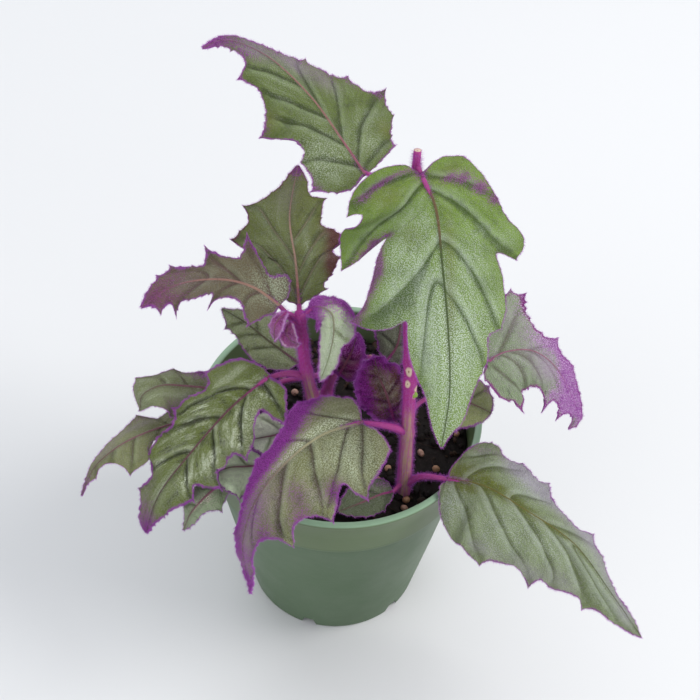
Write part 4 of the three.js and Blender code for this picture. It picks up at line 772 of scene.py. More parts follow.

# Colours are from 0 to 255 as they look; rib is the midrib's at its foot, middle and tip. The spot lists give
# soft spots of purple, silver, yellow-olive and lilac grey: along the rib, out to its left, reach along,
# reach sideways, strength. The purple is partly the leaf's own and partly painted sheen where the blade turns
# from view and painted shade under folds; the silver spots are mostly painted highlight, with leaf_11's pale
# scar; the lilac grey is painted sheen. valley, fold shade and glow set painted shade and highlight along the
# veins. nibs, quilt, groove, pucker and frill shape the blade, in mm.
LOOKS = {
    "leaf_01": dict(green=(60, 76, 18), fresh=(86, 102, 38), vein=(44, 54, 16), silver=0.06, rim=-0.1,
        quilt=0.32, nibs=0.45, rim_tone=(140, 60, 148), glow=0.2, rib_width=0.26, valley=0.4, groove=0.2,
        fold_shade=0.2, rib=((152, 84, 106), (146, 102, 98), (120, 84, 98)),
        blush_sheen_shade=[(72, 0, 9, 3, 1.0), (60, 3, 5, 2, 0.5), (55, -4, 6, 2, 0.6), (47, -7, 6, 1.4, 0.6),
            (40, -11, 6, 1.4, 0.5), (33, -15, 5, 1.2, 0.5), (25, -22, 2.5, 2.5, 0.6),
            (33, 20, 1.5, 2.5, 0.7), (4, 16, 3, 2, 0.7), (57, 12, 1.5, 2, 0.7)],
        pale_and_highlight=[(12, 9, 9, 9, 1.0), (45, 3, 8, 5, 0.3), (18, -12, 4, 6, 0.5), (9, -8, 5, 4, 0.7),
            (28, 6, 7, 6, 0.2)], warm=[(36, 16, 6, 4, 0.6), (12, -15, 4, 3, 0.5)],
        lilac_sheen=[(36, -8, 7, 4, 0.7), (46, -4, 7, 3, 0.9), (58, 0, 8, 4, 0.9)]),
    "leaf_02": dict(green=(72, 96, 10), fresh=(104, 132, 34), vein=(44, 68, 8), silver=0.12, rim=-0.3,
        rim_soft=0.45, quilt=0.42, nibs=0.2, nap=(206, 220, 202), nap_size=2.4, groove=0.16, valley=0.5,
        glow=0.2, fold_shade=0.3, rib=((138, 46, 110), (108, 80, 56), (58, 76, 24)), rim_tone=(136, 92, 136),
        rib_turns=(0.97, 0.88, 0.8, 0.68), depth=0.8, purple=(116, 64, 104), lilac=(150, 96, 146),
        line=0.35,
        blush_sheen_shade=[(-1, 0, 2.5, 2.5, 1.2), (-3, -5, 1.0, 3, 0.7), (-3, -10, 1.0, 3, 0.9),
            (-2, -14, 1.1, 3, 1.0), (-0.5, -19, 1.1, 3, 0.9), (6, 8, 1.3, 3, 0.9), (8, 12, 1.3, 3, 1.0),
            (11, 16, 1.3, 3, 1.1), (14, 20, 1.3, 3, 1.1), (19, -16, 1.2, 2, 0.9), (22, -20, 1.4, 2.5, 0.9),
            (25, -24, 1.5, 3, 0.9), (28, -28, 1.6, 2, 0.8), (27, -20.5, 5, 2, 2.2), (33, -24, 4, 2, 2.2),
            (39, -27, 4, 2, 2.2), (45, -30.5, 4, 2.2, 2.2)],
        pale_and_highlight=[(76, 0, 20, 12, 0.75), (48, -14, 12, 12, 0.8), (48, 13, 14, 10, 0.6), (44, 0, 14, 8, 0.6),
            (29, -12, 12, 10, 0.8), (27, 9, 8, 7, 0.5), (18, -5, 7, 5, 0.4), (24, 22, 5, 5, 0.25),
            (11, -8, 5, 5, 0.3), (60, 0, 12, 8, 0.6)],
        warm=[(24, 3, 12, 2.5, 0.5), (42, 1.5, 10, 2, 0.5), (2, -12, 4, 8, 0.5), (4, 8, 4, 7, 0.5),
            (20, -9, 6, 5, 0.4), (56, 0, 14, 1.6, 0.4)]),
    "leaf_03": dict(green=(74, 84, 30), fresh=(96, 106, 46), vein=(60, 56, 24), silver=0.06, rim=-0.1,
        quilt=0.28, nibs=0.5, line_tone=(158, 144, 122), rim_tone=(104, 46, 74),
        rib=((174, 112, 112), (168, 134, 118), (134, 108, 100)), rib_width=0.3, line=0.35,
        warm_tone=(84, 46, 36),
        blush_sheen_shade=[(25, -20, 3, 2, 0.7), (49, -14, 3, 2, 0.7), (42, 16, 2, 2, 0.7), (52, 0, 3, 3, 0.9),
            (44, -17, 6, 1, 0.5)], pale_and_highlight=[(20, 8, 6, 6, 0.2), (34, 8, 6, 4, 0.2), (24, -5, 8, 1.2, 0.6)],
        warm=[(28, -15, 9, 4, 1.1), (15, -13, 6, 4, 1.1), (18, 14, 6, 3, 0.5)], lilac_sheen=[(42, 2, 8, 6, 0.4)]),
    "leaf_04": dict(green=(78, 70, 42), fresh=(100, 90, 64), vein=(88, 56, 62), silver=0.15, rim=0,
        rim_soft=0.7, quilt=0.4, nibs=0.6, rib=((172, 132, 116), (158, 116, 104), (126, 78, 100)),
        rib_width=0.3, purple=(108, 42, 84), lilac=(130, 70, 110), nap=(176, 184, 156),
        blush_sheen_shade=[(48, 0, 8, 5, 0.8), (38, -3, 6, 2.5, 0.4), (40, 4, 8, 2, 0.4), (4, -16, 6, 1, 0.7),
            (13, -12, 5, 1, 0.7)], pale_and_highlight=[(5, -4, 6, 5, 1.8), (12, 6, 5, 4, 0.4)],
        lilac_sheen=[(36, 0, 8, 6, 0.3), (24, 0, 8, 6, 0.15)]),
    "leaf_05": dict(green=(130, 144, 98), fresh=(172, 188, 150), vein=(96, 102, 70), silver=0.6, rim=0.0,
        rim_soft=0.9, nibs=0.05, rim_tone=(164, 92, 172), purple=(120, 22, 122), lilac=(172, 72, 176),
        sheen=0.12, quilt=0.5, frill=0.3, rib=((140, 40, 130), (132, 128, 104), (130, 142, 104)),
        nap=(206, 216, 192), line=0.35, valley=0.4, fold_shade=0.7, satin_highlight=0.6,
        blush_sheen_shade=[(3, 0, 7, 9, 1.5), (12, 7, 5, 4, 1.0), (11, -7, 5, 4, 1.0), (18, 9, 6, 3, 0.7),
            (18, -9, 6, 3, 0.7)], pale_and_highlight=[(26, 0, 10, 3, 0.7)]),
    "leaf_06": dict(green=(56, 68, 4), fresh=(90, 104, 20), vein=(30, 32, 4), silver=0.18, rim=0.1,
        rim_soft=0.7, quilt=1.1, groove=0.3, nibs=0.55, frill=0.4, pucker=0.14, nap=(214, 222, 196),
        rough=0.46, gloss=0.35, line=0.5, streaks=0.9, satin_highlight=0.4, fold_shade=0.8, glow=0.12, sheen=0.02,
        nap_share=0.55, nap_size=2.6, rib=((140, 34, 108), (106, 48, 74), (84, 58, 62)),
        rib_turns=(0.95, 0.8, 0.5, 0.2), lumps=2.4, rim_tone=(148, 62, 160), rib_width=0.26,
        blush_sheen_shade=[(77, 0, 7, 5, 1.0), (68, -3, 5, 3, 0.4), (70, 4, 4, 3, 0.4), (8, -18, 5, 2.5, 0.6)],
        pale_and_highlight=[(24, 9, 5, 4, 1.0), (14, 8, 5, 4, 1.0), (36, 11, 5, 4, 0.9), (20, 15, 5, 4, 0.7),
            (7, 5, 4, 3, 0.5), (27, -8, 6, 3, 0.4), (41, -7, 6, 3, 0.4), (48, 6, 6, 3, 0.7),
            (58, 2, 6, 3, 0.5)], lilac_sheen=[(62, -5, 8, 4, 0.4)]),
    "leaf_07": dict(green=(66, 66, 28), fresh=(98, 100, 52), vein=(56, 38, 28), silver=0.34, rim=0.0,
        rim_soft=0.8, quilt=0.5, groove=0.2, nibs=0.3, frill=0.35, line=0.5, nap=(202, 212, 180),
        fold_shade=0.5, nap_size=2.3, bare=0.15, purple=(104, 10, 108), lilac=(142, 40, 150), glow=0.12,
        sheen=0.03, lilac_sheen_tone=(142, 112, 140), rib=((132, 62, 94), (164, 158, 124), (108, 84, 82)),
        rib_turns=(1.0, 0.94, 0.8, 0.5), rim_tone=(146, 68, 156),
        blush_sheen_shade=[(-1, -19, 5, 3, 0.9), (7, -18, 6, 4, 1.1), (15, -15.5, 6, 5, 1.3), (23, -11.5, 6, 5.5, 1.5),
            (31, -9.5, 6, 5.5, 1.6), (39, -7.5, 6, 5, 1.5), (48, -6, 6, 4, 1.3), (58, -4.5, 6, 3.5, 1.1),
            (69, -3, 7, 3, 0.9), (27, 18, 5, 4, 0.7), (38, 10, 5, 5, 0.45), (44, 16, 5, 3, 0.6),
            (52, 2, 7, 3, 0.4), (58, 8, 7, 4, 0.65), (70, 3, 6, 4, 0.5), (86, 0, 9, 5, 1.2)],
        pale_and_highlight=[(6, -3, 5, 2, 0.8), (14, -2.4, 7, 2, 1.0), (24, -1.8, 8, 1.6, 1.0), (34, -1.4, 7, 1.2, 0.8),
            (10, 10, 8, 8, 1.0), (22, 8, 5, 4, 0.5), (34, 15, 4, 4, 0.5), (16, 17, 5, 5, 0.6)],
        lilac_sheen=[(48, 3, 10, 6, 0.5), (57, -1, 12, 4, 0.6), (70, 2, 10, 5, 0.7)]),
    "leaf_08": dict(green=(88, 98, 52), fresh=(124, 136, 88), vein=(56, 62, 30), silver=0.4, rim=-0.1,
        quilt=0.5, rib=((110, 60, 84), (80, 72, 52), (66, 66, 44))),
    "leaf_09": dict(green=(88, 96, 52), fresh=(112, 120, 78), vein=(76, 64, 58), silver=0.2, rim=-0.4,
        nibs=0.15, quilt=0.8, satin_highlight=0.3,
        blush_sheen_shade=[(16, -6, 6, 3, 0.9), (8, -3, 5, 5, 0.7), (26, 9, 5, 4, 0.5), (32, 11, 3, 2, 0.5)],
        lilac_sheen=[(28, -6, 5, 3, 0.5), (20, 6, 5, 4, 0.5)]),
    "leaf_10": dict(green=(88, 94, 50), fresh=(114, 118, 74), vein=(78, 66, 56), silver=0.15, rim=-0.5,
        nibs=0.2, quilt=0.3, blush_sheen_shade=[(66, 0, 7, 4, 0.6), (30, -7, 8, 1.5, 0.4)],
        lilac_sheen=[(34, -4, 10, 2, 0.6), (50, -2, 8, 3, 0.5)]),
    "leaf_11": dict(green=(104, 124, 84), fresh=(132, 150, 114), vein=(76, 86, 62), silver=0.2, rim=-0.3,
        quilt=0.6, nap=(224, 214, 196), pale_and_highlight=[(12, 0, 4, 0.8, 1.4), (9, 1, 1.5, 1.5, 1.2)]),
    # leaf_12 and leaf_13 sit in deep shade and are painted far paler than their own green: painted light
    "leaf_12": dict(green=(154, 178, 128), fresh=(208, 226, 186), vein=(90, 98, 72), silver=0.4, rim=0,
        quilt=0.7, valley=0.6),
    "leaf_13": dict(green=(184, 204, 160), fresh=(232, 244, 214), vein=(96, 92, 84), silver=0.4, rim=0.1,
        quilt=0.8, blush_sheen_shade=[(2, -5, 3, 3, 0.6)]),
    "leaf_14": dict(green=(90, 106, 68), fresh=(118, 136, 98), vein=(84, 66, 64), silver=0.24, rim=0.1,
        rim_soft=0.8, quilt=0.1, groove=0.08, line=0.3, valley=0.35, nibs=0.6, purple=(156, 94, 164),
        lilac=(212, 166, 220), rim_tone=(124, 26, 116), depth=0.85, glow=0.14,
        rib=((146, 82, 116), (140, 88, 108), (164, 104, 164)), rib_width=0.1, nap=(190, 188, 186),
        lilac_sheen_tone=(164, 142, 168),
        blush_sheen_shade=[(20, 24, 4, 4, 1.0), (23, 19, 4, 4, 1.1), (28, 14, 5, 4.5, 1.3), (34, 11, 5, 5, 1.3),
            (40, 7, 6, 6, 1.4), (48, 3, 7, 6, 1.5), (45, -5, 6, 4, 1.2), (37, -8, 3, 3, 0.7),
            (5, 12, 1.5, 8, 0.5), (38, -14, 3, 3, 0.7), (30, 7, 6, 5, 0.9), (37, 1, 5, 4, 0.9),
            (20, 15, 4, 5, 0.6), (14, 26, 4, 3, 0.5), (22, 5, 5, 3.5, 0.6)], pale_and_highlight=[(12, -6, 6, 6, 0.5)],
        lilac_sheen=[(18, 8, 8, 8, 0.45), (24, -2, 9, 7, 0.6), (10, 16, 5, 5, 0.6), (30, -3, 6, 5, 0.6)]),
    "leaf_15": dict(green=(84, 98, 50), fresh=(112, 126, 84), vein=(60, 70, 32), silver=0.18, rim=-0.2,
        rim_soft=0.7, quilt=0.12, nibs=0.25, rib=((120, 44, 60), (100, 92, 30), (70, 78, 34)),
        rib_turns=(0.97, 0.9, 0.6, 0.3), line=0.35, glow=0.3, nap=(182, 192, 180), rib_width=0.12,
        rim_tone=(126, 56, 132), groove=0.1, valley=0.28, fold_shade=0.3, streaks=0.4,
        lilac_sheen_tone=(158, 150, 166), warm_tone=(86, 96, 6), blush_sheen_shade=[(-1, 0, 3, 2, 1.2), (6, 15, 8, 1.6, 0.3)],
        pale_and_highlight=[(5, -10, 6, 8, 0.8), (26, -12, 9, 8, 0.5), (27, 10, 7, 5, 1.0), (42, -6, 14, 6, 0.4),
            (72, -2, 14, 6, 0.4)],
        warm=[(6, 3, 9, 5, 1.2), (18, 1, 10, 2.6, 1.0), (34, 0, 12, 2, 0.9), (50, 0, 10, 1.5, 0.6),
            (9, -3, 6, 2, 0.6)],
        lilac_sheen=[(36, 13, 12, 6, 1.5), (22, 15, 8, 5, 1.2), (52, 9, 10, 5, 1.5), (44, -18, 12, 4, 0.6),
            (72, 4, 12, 4, 1.0), (58, -12, 10, 4, 0.5), (24, -20, 8, 3, 0.5), (84, 0, 8, 4, 0.6)]),
    "leaf_16": dict(green=(116, 124, 66), fresh=(138, 146, 88), vein=(78, 80, 52), silver=0.2, rim=0.1,
        quilt=0.5, blush_sheen_shade=[(20, 8, 4, 2, 0.7)]),
    "leaf_17": dict(green=(78, 18, 40), fresh=(92, 62, 44), vein=(44, 4, 32), silver=0.08, gloss=0.2,
        hair=0.6, fold_shade=0.8, satin_highlight=0.7, nap=(156, 150, 134), rim=0.5, rim_soft=1.0, quilt=1.6, frill=1.0,
        pucker=0.35, purple=(92, 6, 92), lilac=(138, 34, 138), sheen=0.2,
        blush_sheen_shade=[(22, 7, 8, 4, 1.2), (12, 8, 7, 4, 1.0), (25, -5, 6, 5, 0.8), (4, 0, 4, 6, 0.7),
            (27, 0, 3, 8, 0.8), (10, -8, 5, 3, 0.8)], pale_and_highlight=[(13, -1, 7, 4, 0.9), (20, 0, 4, 3, 0.5)]),
    "leaf_18": dict(green=(88, 4, 66), fresh=(114, 14, 92), vein=(40, 4, 30), silver=0.05, gloss=0.15,
        hair=0.7, rim=0.6, rim_soft=1.2, quilt=0.8, purple=(120, 40, 122), lilac=(176, 104, 180), sheen=0.1,
        blush_sheen_shade=[(19, -1, 5, 2.4, 1.5), (13, 3, 3, 2, 0.8), (6, -6, 8, 2, 0.8), (10, 6, 8, 1.5, 0.8)]),
    "leaf_19": dict(green=(76, 84, 62), fresh=(100, 106, 84), vein=(58, 58, 46), silver=0.2, rim=0.1,
        quilt=0.6),
    "leaf_20": dict(green=(60, 70, 44), fresh=(80, 92, 62), vein=(54, 58, 42), silver=0.16, rim=-0.3,
        quilt=0.6, blush_sheen_shade=[(2, -4, 4, 2, 0.6)]),
    "leaf_21": dict(green=(118, 44, 100), fresh=(146, 70, 130), vein=(84, 22, 72), silver=0.2, rim=0.2,
        sheen=0.25, rim_tone=(190, 140, 190), purple=(128, 24, 106), lilac=(160, 70, 146),
        blush_sheen_shade=[(4, 0, 8, 8, 0.6)]),
    "leaf_22": dict(green=(112, 32, 88), fresh=(146, 66, 124), vein=(80, 20, 70), silver=0.2, rim=0.2,
        sheen=0.25, rim_tone=(200, 160, 190), purple=(130, 20, 100), lilac=(160, 64, 140),
        blush_sheen_shade=[(4, 0, 8, 8, 0.6)]),
    "leaf_23": dict(green=(88, 100, 62), fresh=(108, 122, 84), vein=(72, 78, 50), silver=0.25, rim=0),
}
# What a leaf has where its own look doesn't say otherwise
PLAIN_LOOK = dict(
    rib=((146, 48, 116), (128, 74, 92), (96, 74, 64)), rib_turns=(0.9, 0.7, 0.5, 0.2), rib_width=0.34,
    warm_tone=(106, 112, 40), lilac_sheen_tone=(140, 122, 142), purple=(116, 44, 118), lilac=(146, 74, 150),
    rim_tone=(140, 62, 150), rim_soft=0.6, gloss=0.4, sheen=0.06, rough=0.52, lumps=1.6, nap_size=2.1,
    nap_share=0.75, streaks=0.25, satin_highlight=0.12, valley=0.5, fold_shade=0.3, glow=0.14, line=0.4, depth=0.95,
    hair=0.08, bare=0.2, nibs=0.5, quilt=0.4, groove=0.14, pucker=0.07, frill=0.22,
    blush_sheen_shade=(), pale_and_highlight=(), warm=(), lilac_sheen=())
# Steps of the blade's grid in each of its rows, and from the midrib to the margin
GRIDS = {"leaf_01": (7, 46), "leaf_02": (6, 48), "leaf_06": (7, 46), "leaf_07": (7, 46), "leaf_14": (6, 42),
         "leaf_15": (7, 42)}
GRID, SMALL_GRID, SMALL_LEAF = (5, 20), (4, 14), 22
BLADE_THICK, MARGIN_THICK = 0.5, 0.16
WAVE_LENGTH, WAVE_REACH, FRILL_LENGTH = 11.5, 12, 4.6
STALK_SIDES, STALK_END = 14, 0.5
STALK_ROUND = 15.71  # flat width of the skin all round a stalk
# Hairs on a square mm of the face, how many more in the purple spots, on a mm of margin, on a mm of stalk
FACE_HAIRS, PURPLE_SPOT_HAIRS, FRINGE_HAIRS, STALK_HAIRS = 0.9, 11.0, 24, 50


def margin_line(edge, length, rows, fine, nibs, chance):
    """Margin from the stalk to the tip, as rows shared among its teeth, each in a number of fine steps.
    Every tooth ends in a small hook, and smaller nibs of about the given height stand between the teeth."""
    stretches, stretch = [], [(0, 1.0)]
    for corner in [*edge, (length, 0.4, 1)]:
        stretch.append(corner[:2])
        if len(corner) == 3:
            stretches.append(make_route(stretch, 240))
            stretch = [corner[:2]]
    steps = np.ones(len(stretches), int)
    lengths = np.array([run[-1] for _, run in stretches])
    while steps.sum() < rows:
        steps[np.argmax(lengths / steps)] += 1
    line = [np.array([[0, 1.0]])]
    for (dense, run), count in zip(stretches, steps):
        at = np.linspace(0, run[-1], count * fine + 1)[1:]
        line.append(np.stack([np.interp(at, run, dense[:, i]) for i in (0, 1)], -1))
    line = np.concatenate(line)
    run, ahead = run_along(line), unit(np.gradient(line, axis=0))
    out = np.stack([-ahead[:, 1], ahead[:, 0]], -1)
    teeth = run[np.cumsum(steps)[:-1] * fine]
    moved = np.zeros_like(line)
    at = chance.uniform(2, 4)
    while at < run[-1] - 3:
        if np.abs(teeth - at).min(initial=99) > 1.6:
            height, width = nibs * chance.uniform(0.4, 1.2), chance.uniform(0.7, 1.1)
            near = np.maximum(0, 1 - np.abs(run - at) / width)[:, None]
            moved += near ** 1.4 * height * (out + 0.5 * ahead)
        at += chance.uniform(2.2, 5.0)
    for tooth in teeth:
        near = np.maximum(0, 1 - np.abs(run - tooth) / 1.3)[:, None]
        moved += near ** 2 * 2.2 * nibs * (0.35, 0.9)
    return line + moved * smooth_step(run, 0, 3)[:, None] * smooth_step(run[-1] - run, 0, 3)[:, None]


def blade_place(leaf, along, sideways):
    """Point on the upper side, and the way up from it, at a flat place of the leaf"""
    route, length = leaf["route"], leaf["length"]
    point, ahead = on_route(route, along)[0], on_route(route, np.clip(along, 0, length))[1]
    share = np.clip(along / length, 0, 1)[..., None]
    first, final = [unit(np.array(f)) for f in leaf["facing"]]
    up = first * (1 - share) + final * share
    up = unit(up - np.sum(up * ahead, -1, keepdims=True) * ahead)
    side, out = np.where(sideways < 0, -1.0, 1.0), np.abs(sideways)
    across = np.cross(up, ahead) * side[..., None]
    start, curl = [np.radians(-np.where(sideways < 0, leaf["right"]["bend"][i], leaf["left"]["bend"][i]))
                   for i in (0, 1)]
    curl = np.where(np.abs(curl) < 1e-8, 1e-6, curl)
    angle = start + curl * out
    wave = leaf["wave"] * np.minimum(1, out / WAVE_REACH) ** 2
    wave = wave * np.sin(2 * np.pi * along / WAVE_LENGTH + side)
    point = point + across * ((np.sin(angle) - np.sin(start)) / curl)[..., None]
    point = point + up * ((np.cos(start) - np.cos(angle)) / curl + wave)[..., None]
    return point, up * np.cos(angle)[..., None] - across * np.sin(angle)[..., None]


def vein_phase(half, length, along, out):
    """How many veins a place has passed, in parts, and the width of its gap between two veins in mm.
    Without veins of its own, a half has one to each tooth and more where the teeth stand far apart."""
    veins = half.get("veins")
    if veins is None:
        teeth = [c for c in half["edge"] if len(c) == 3] or [half["edge"][len(half["edge"]) // 2]]
        veins, before = [], -4
        for tooth in teeth:
            start = max(tooth[0] - 0.85 * tooth[1], before + 5)
            while start - before > 12:
                before += 0.5 * (start - before)
                veins.append((before, before + 4, 4, before + 8, 9))
            if start < length - 8:
                veins.append((start, 0.5 * (start + tooth[0]) - 0.5, 0.5 * tooth[1], tooth[0], tooth[1]))
                before = start
        veins = veins or [(0.3 * length, 0.3 * length + 4, 4, 0.3 * length + 8, 8)]
    lines, slopes = [], []
    for start, a1, o1, a2, o2 in veins:
        bow = ((a2 - start) / o2 - (a1 - start) / o1) / (o2 - o1)
        rise = (a1 - start) / o1 - bow * o1
        near = np.minimum(out, o2 * 1.15)
        slope = rise + 2 * bow * near
        line = start + rise * near + bow * near ** 2 + slope * (out - near)
        line = line + 0.25 * np.sin(out / 2.3 + start)
        lines.append(np.maximum(line, lines[-1] + 1.2) if lines else line)
        slopes.append(slope)
    known = len(lines)
    passed = np.sum(along[None] >= np.array(lines), axis=0)

    def pick(of_each, number):
        return np.take_along_axis(np.array(of_each), np.clip(number, 0, known - 1)[None], 0)[0]

    low, high = pick(lines, passed - 1), pick(lines, passed)
    gap = np.where((passed > 0) & (passed < known), high - low, 11.0)
    low = np.where(passed == 0, high - gap, low)
    phase = np.clip(passed - 1 + (along - low) / gap, -0.5, known - 0.5)
    return phase, gap / np.sqrt(1 + pick(slopes, passed) ** 2)


def blobs(spots, along, sideways):
    """Sum of soft round spots, each (along, sideways, reach along, reach sideways, strength)"""
    total = np.zeros(np.shape(along))
    for a, s, reach_a, reach_s, strength in spots:
        total += strength * np.exp(-((along - a) / reach_a) ** 2 - ((sideways - s) / reach_s) ** 2)
    return total


def shape_blade(leaf, look, fine, columns, chance):
    """The blade's upper and lower side, the ways up, its flat places, and the values its finish reads"""
    length, rows = leaf["length"], leaf["rows"]
    left, right = [margin_line(leaf[side]["edge"], length, rows, fine, look["nibs"], chance)
                   for side in ("left", "right")]
    coarse = (left[::fine, 0] + right[::fine, 0] - 0.8 * (left[::fine, 1] + right[::fine, 1])) / 2
    stations = [0.0]
    for k in range(1, rows + 1):
        stations.append(min(length - (rows - k) * 0.35, max(stations[-1] + 0.35, coarse[k])))
    station = np.interp(np.arange(rows * fine + 1) / fine, np.arange(rows + 1), stations)
    share = np.linspace(0, 1, columns + 1)
    share = 0.55 * share + 0.45 * np.sin(share * np.pi / 2)
    share = np.concatenate([share[::-1], -share[1:]])
    edge_along, edge_out = [np.where(share > 0, left[:, i:i + 1], right[:, i:i + 1]) for i in (0, 1)]
    along = station[:, None] * (1 - np.abs(share)) + edge_along * np.abs(share)
    sideways = edge_out * share
    out = np.abs(sideways)

    phase, gap, rim = np.empty(along.shape), np.empty(along.shape), np.full(along.shape, 99.0)
    for side, half in ((share >= 0, "left"), (share < 0, "right")):
        phase[:, side], gap[:, side] = vein_phase(leaf[half], length, along[:, side], out[:, side])
    for line, side in ((left, share >= 0), (right, share <= 0)):
        flat = np.stack([along[:, side], out[:, side]], -1)
        for i in range(len(along)):
            apart = np.linalg.norm(flat[i][:, None] - line[None], axis=2).min(axis=1)
            rim[i, side] = np.minimum(rim[i, side], apart)

    taper = 1 - np.clip(along / length, 0, 1)
    vein_gap = np.abs(phase - np.round(phase)) * gap
    open_blade = smooth_step(out, 0.6, 3.5) * smooth_step(rim, 0.0, 3.2)
    swell = (1 - np.exp(-vein_gap / 1.6)) * np.minimum(gap / 8, 1.2)
    fade = smooth_step(rim, 0.4, 4) * (0.35 + 0.65 * smooth_step(18 - out, -14, 10))
    lift = look["quilt"] * swell * open_blade
    lift -= look["groove"] * np.exp(-(vein_gap / 0.45) ** 2) * fade * smooth_step(out, 0.3, 1.2)
    lift -= 0.5 * np.exp(-(out / 1.4) ** 2) * (0.4 + 0.6 * taper)
    lift += (0.2 + 0.5 * taper ** 2) * np.exp(-(out / (0.25 + 0.3 * taper)) ** 2)
    ripple = (np.sin(1.9 * along + 1.1 * np.sin(1.3 * sideways))
              * np.sin(1.7 * sideways + 0.9 * np.sin(1.5 * along + 2)))
    ripple += (0.6 * np.sin(3.7 * along - 2.9 * sideways + 1.2 * np.sin(2.1 * along))
               * np.sin(3.3 * sideways + 1.6 * along))
    lift += look["pucker"] * ripple * smooth_step(rim, 0.2, 2) * smooth_step(vein_gap, 0.2, 1.2)
    frill = np.sin(2 * np.pi * along / FRILL_LENGTH + 2 * np.sin(0.7 * along) + share)
    lift += look["frill"] * np.exp(-(rim / 1.6) ** 2) * frill

    point, up = blade_place(leaf, along, sideways)
    thick = MARGIN_THICK + (BLADE_THICK - MARGIN_THICK) * smooth_step(rim, 0, 3)
    rib = (0.15 + 0.75 * taper) * np.exp(-(out / (0.45 + 0.4 * taper)) ** 2)
    below = lift - thick - rib - 0.16 * np.exp(-(vein_gap / 0.5) ** 2) * fade
    upper, lower = point + up * lift[..., None], point + up * below[..., None]
    values = dict(phase=phase, gap=gap, rim=rim, fade=fade, out=out, taper=taper)
    return *[part.reshape(-1, 3) for part in (upper, lower, up)], along, sideways, values


# Vein lines: from how many veins a place has passed, the dark lines, the bulges between them, painted shade
# on one side, a painted highlight on the other, and fine streaks of painted highlight and bands of painted
# fold shade drawn out along the veins
vein_lines, given, result = new_group("vein lines", {"Width": 1.0, "Softness": 0.5},
                                      ("Veins", "Bulge", "Shade", "Beside", "Streaks", "Creases"))
passed, spread, strength, outward = [
    read_mark(vein_lines, mark) for mark in ("phase", "gap", "fade", "out")]
away = times(math_of("PINGPONG", passed, 0.5), spread)
line = ramp(away, given["Width"], math_of("ADD", given["Width"], given["Softness"]), 1.0, 0.0)
past = times(math_of("FRACT", math_of("ADD", passed, 10.0)), spread)
before = math_of("SUBTRACT", spread, past)
beside = times(ramp(before, 0.1, 0.7), ramp(before, 3.2, 0.6))
drawn = wire(vein_lines, "CombineXYZ", times(passed, 4.5), times(outward, 0.2), 0.0)
fold = wire(vein_lines, "TexNoise", drawn, None, 1.0, 3.0, 0.6)
give(result["Bulge"], ramp(away, 0.2, 1.8))
for name, share in (("Veins", line), ("Shade", ramp(past, 1.2, 0.1)), ("Beside", beside),
                    ("Streaks", ramp(fold, 0.49, 0.64)), ("Creases", ramp(fold, 0.47, 0.32))):
    give(result[name], times(share, strength))

# Velvet nap: small dots of pale hair that come and go, and soft lumps and clouds of tone
velvet, given, result = new_group("velvet nap", {"Places": None, "Size": 1.0}, ("Dots", "Lumps", "Clouds"))
cells = wire(velvet, "TexVoronoi", given["Places"], None, given["Size"], voronoi_dimensions="2D")
thick = wire(velvet, "TexNoise", given["Places"], None, times(given["Size"], 0.45), 2.0, 0.6)
give(result["Dots"], times(ramp(cells, 0.62, 0.12), ramp(thick, 0.15, 0.7)))
give(result["Lumps"], wire(velvet, "TexNoise", given["Places"], None, 0.42, 2.0, 0.45))
give(result["Clouds"], wire(velvet, "TexNoise", given["Places"], None, 0.13, 3.0, 0.6))


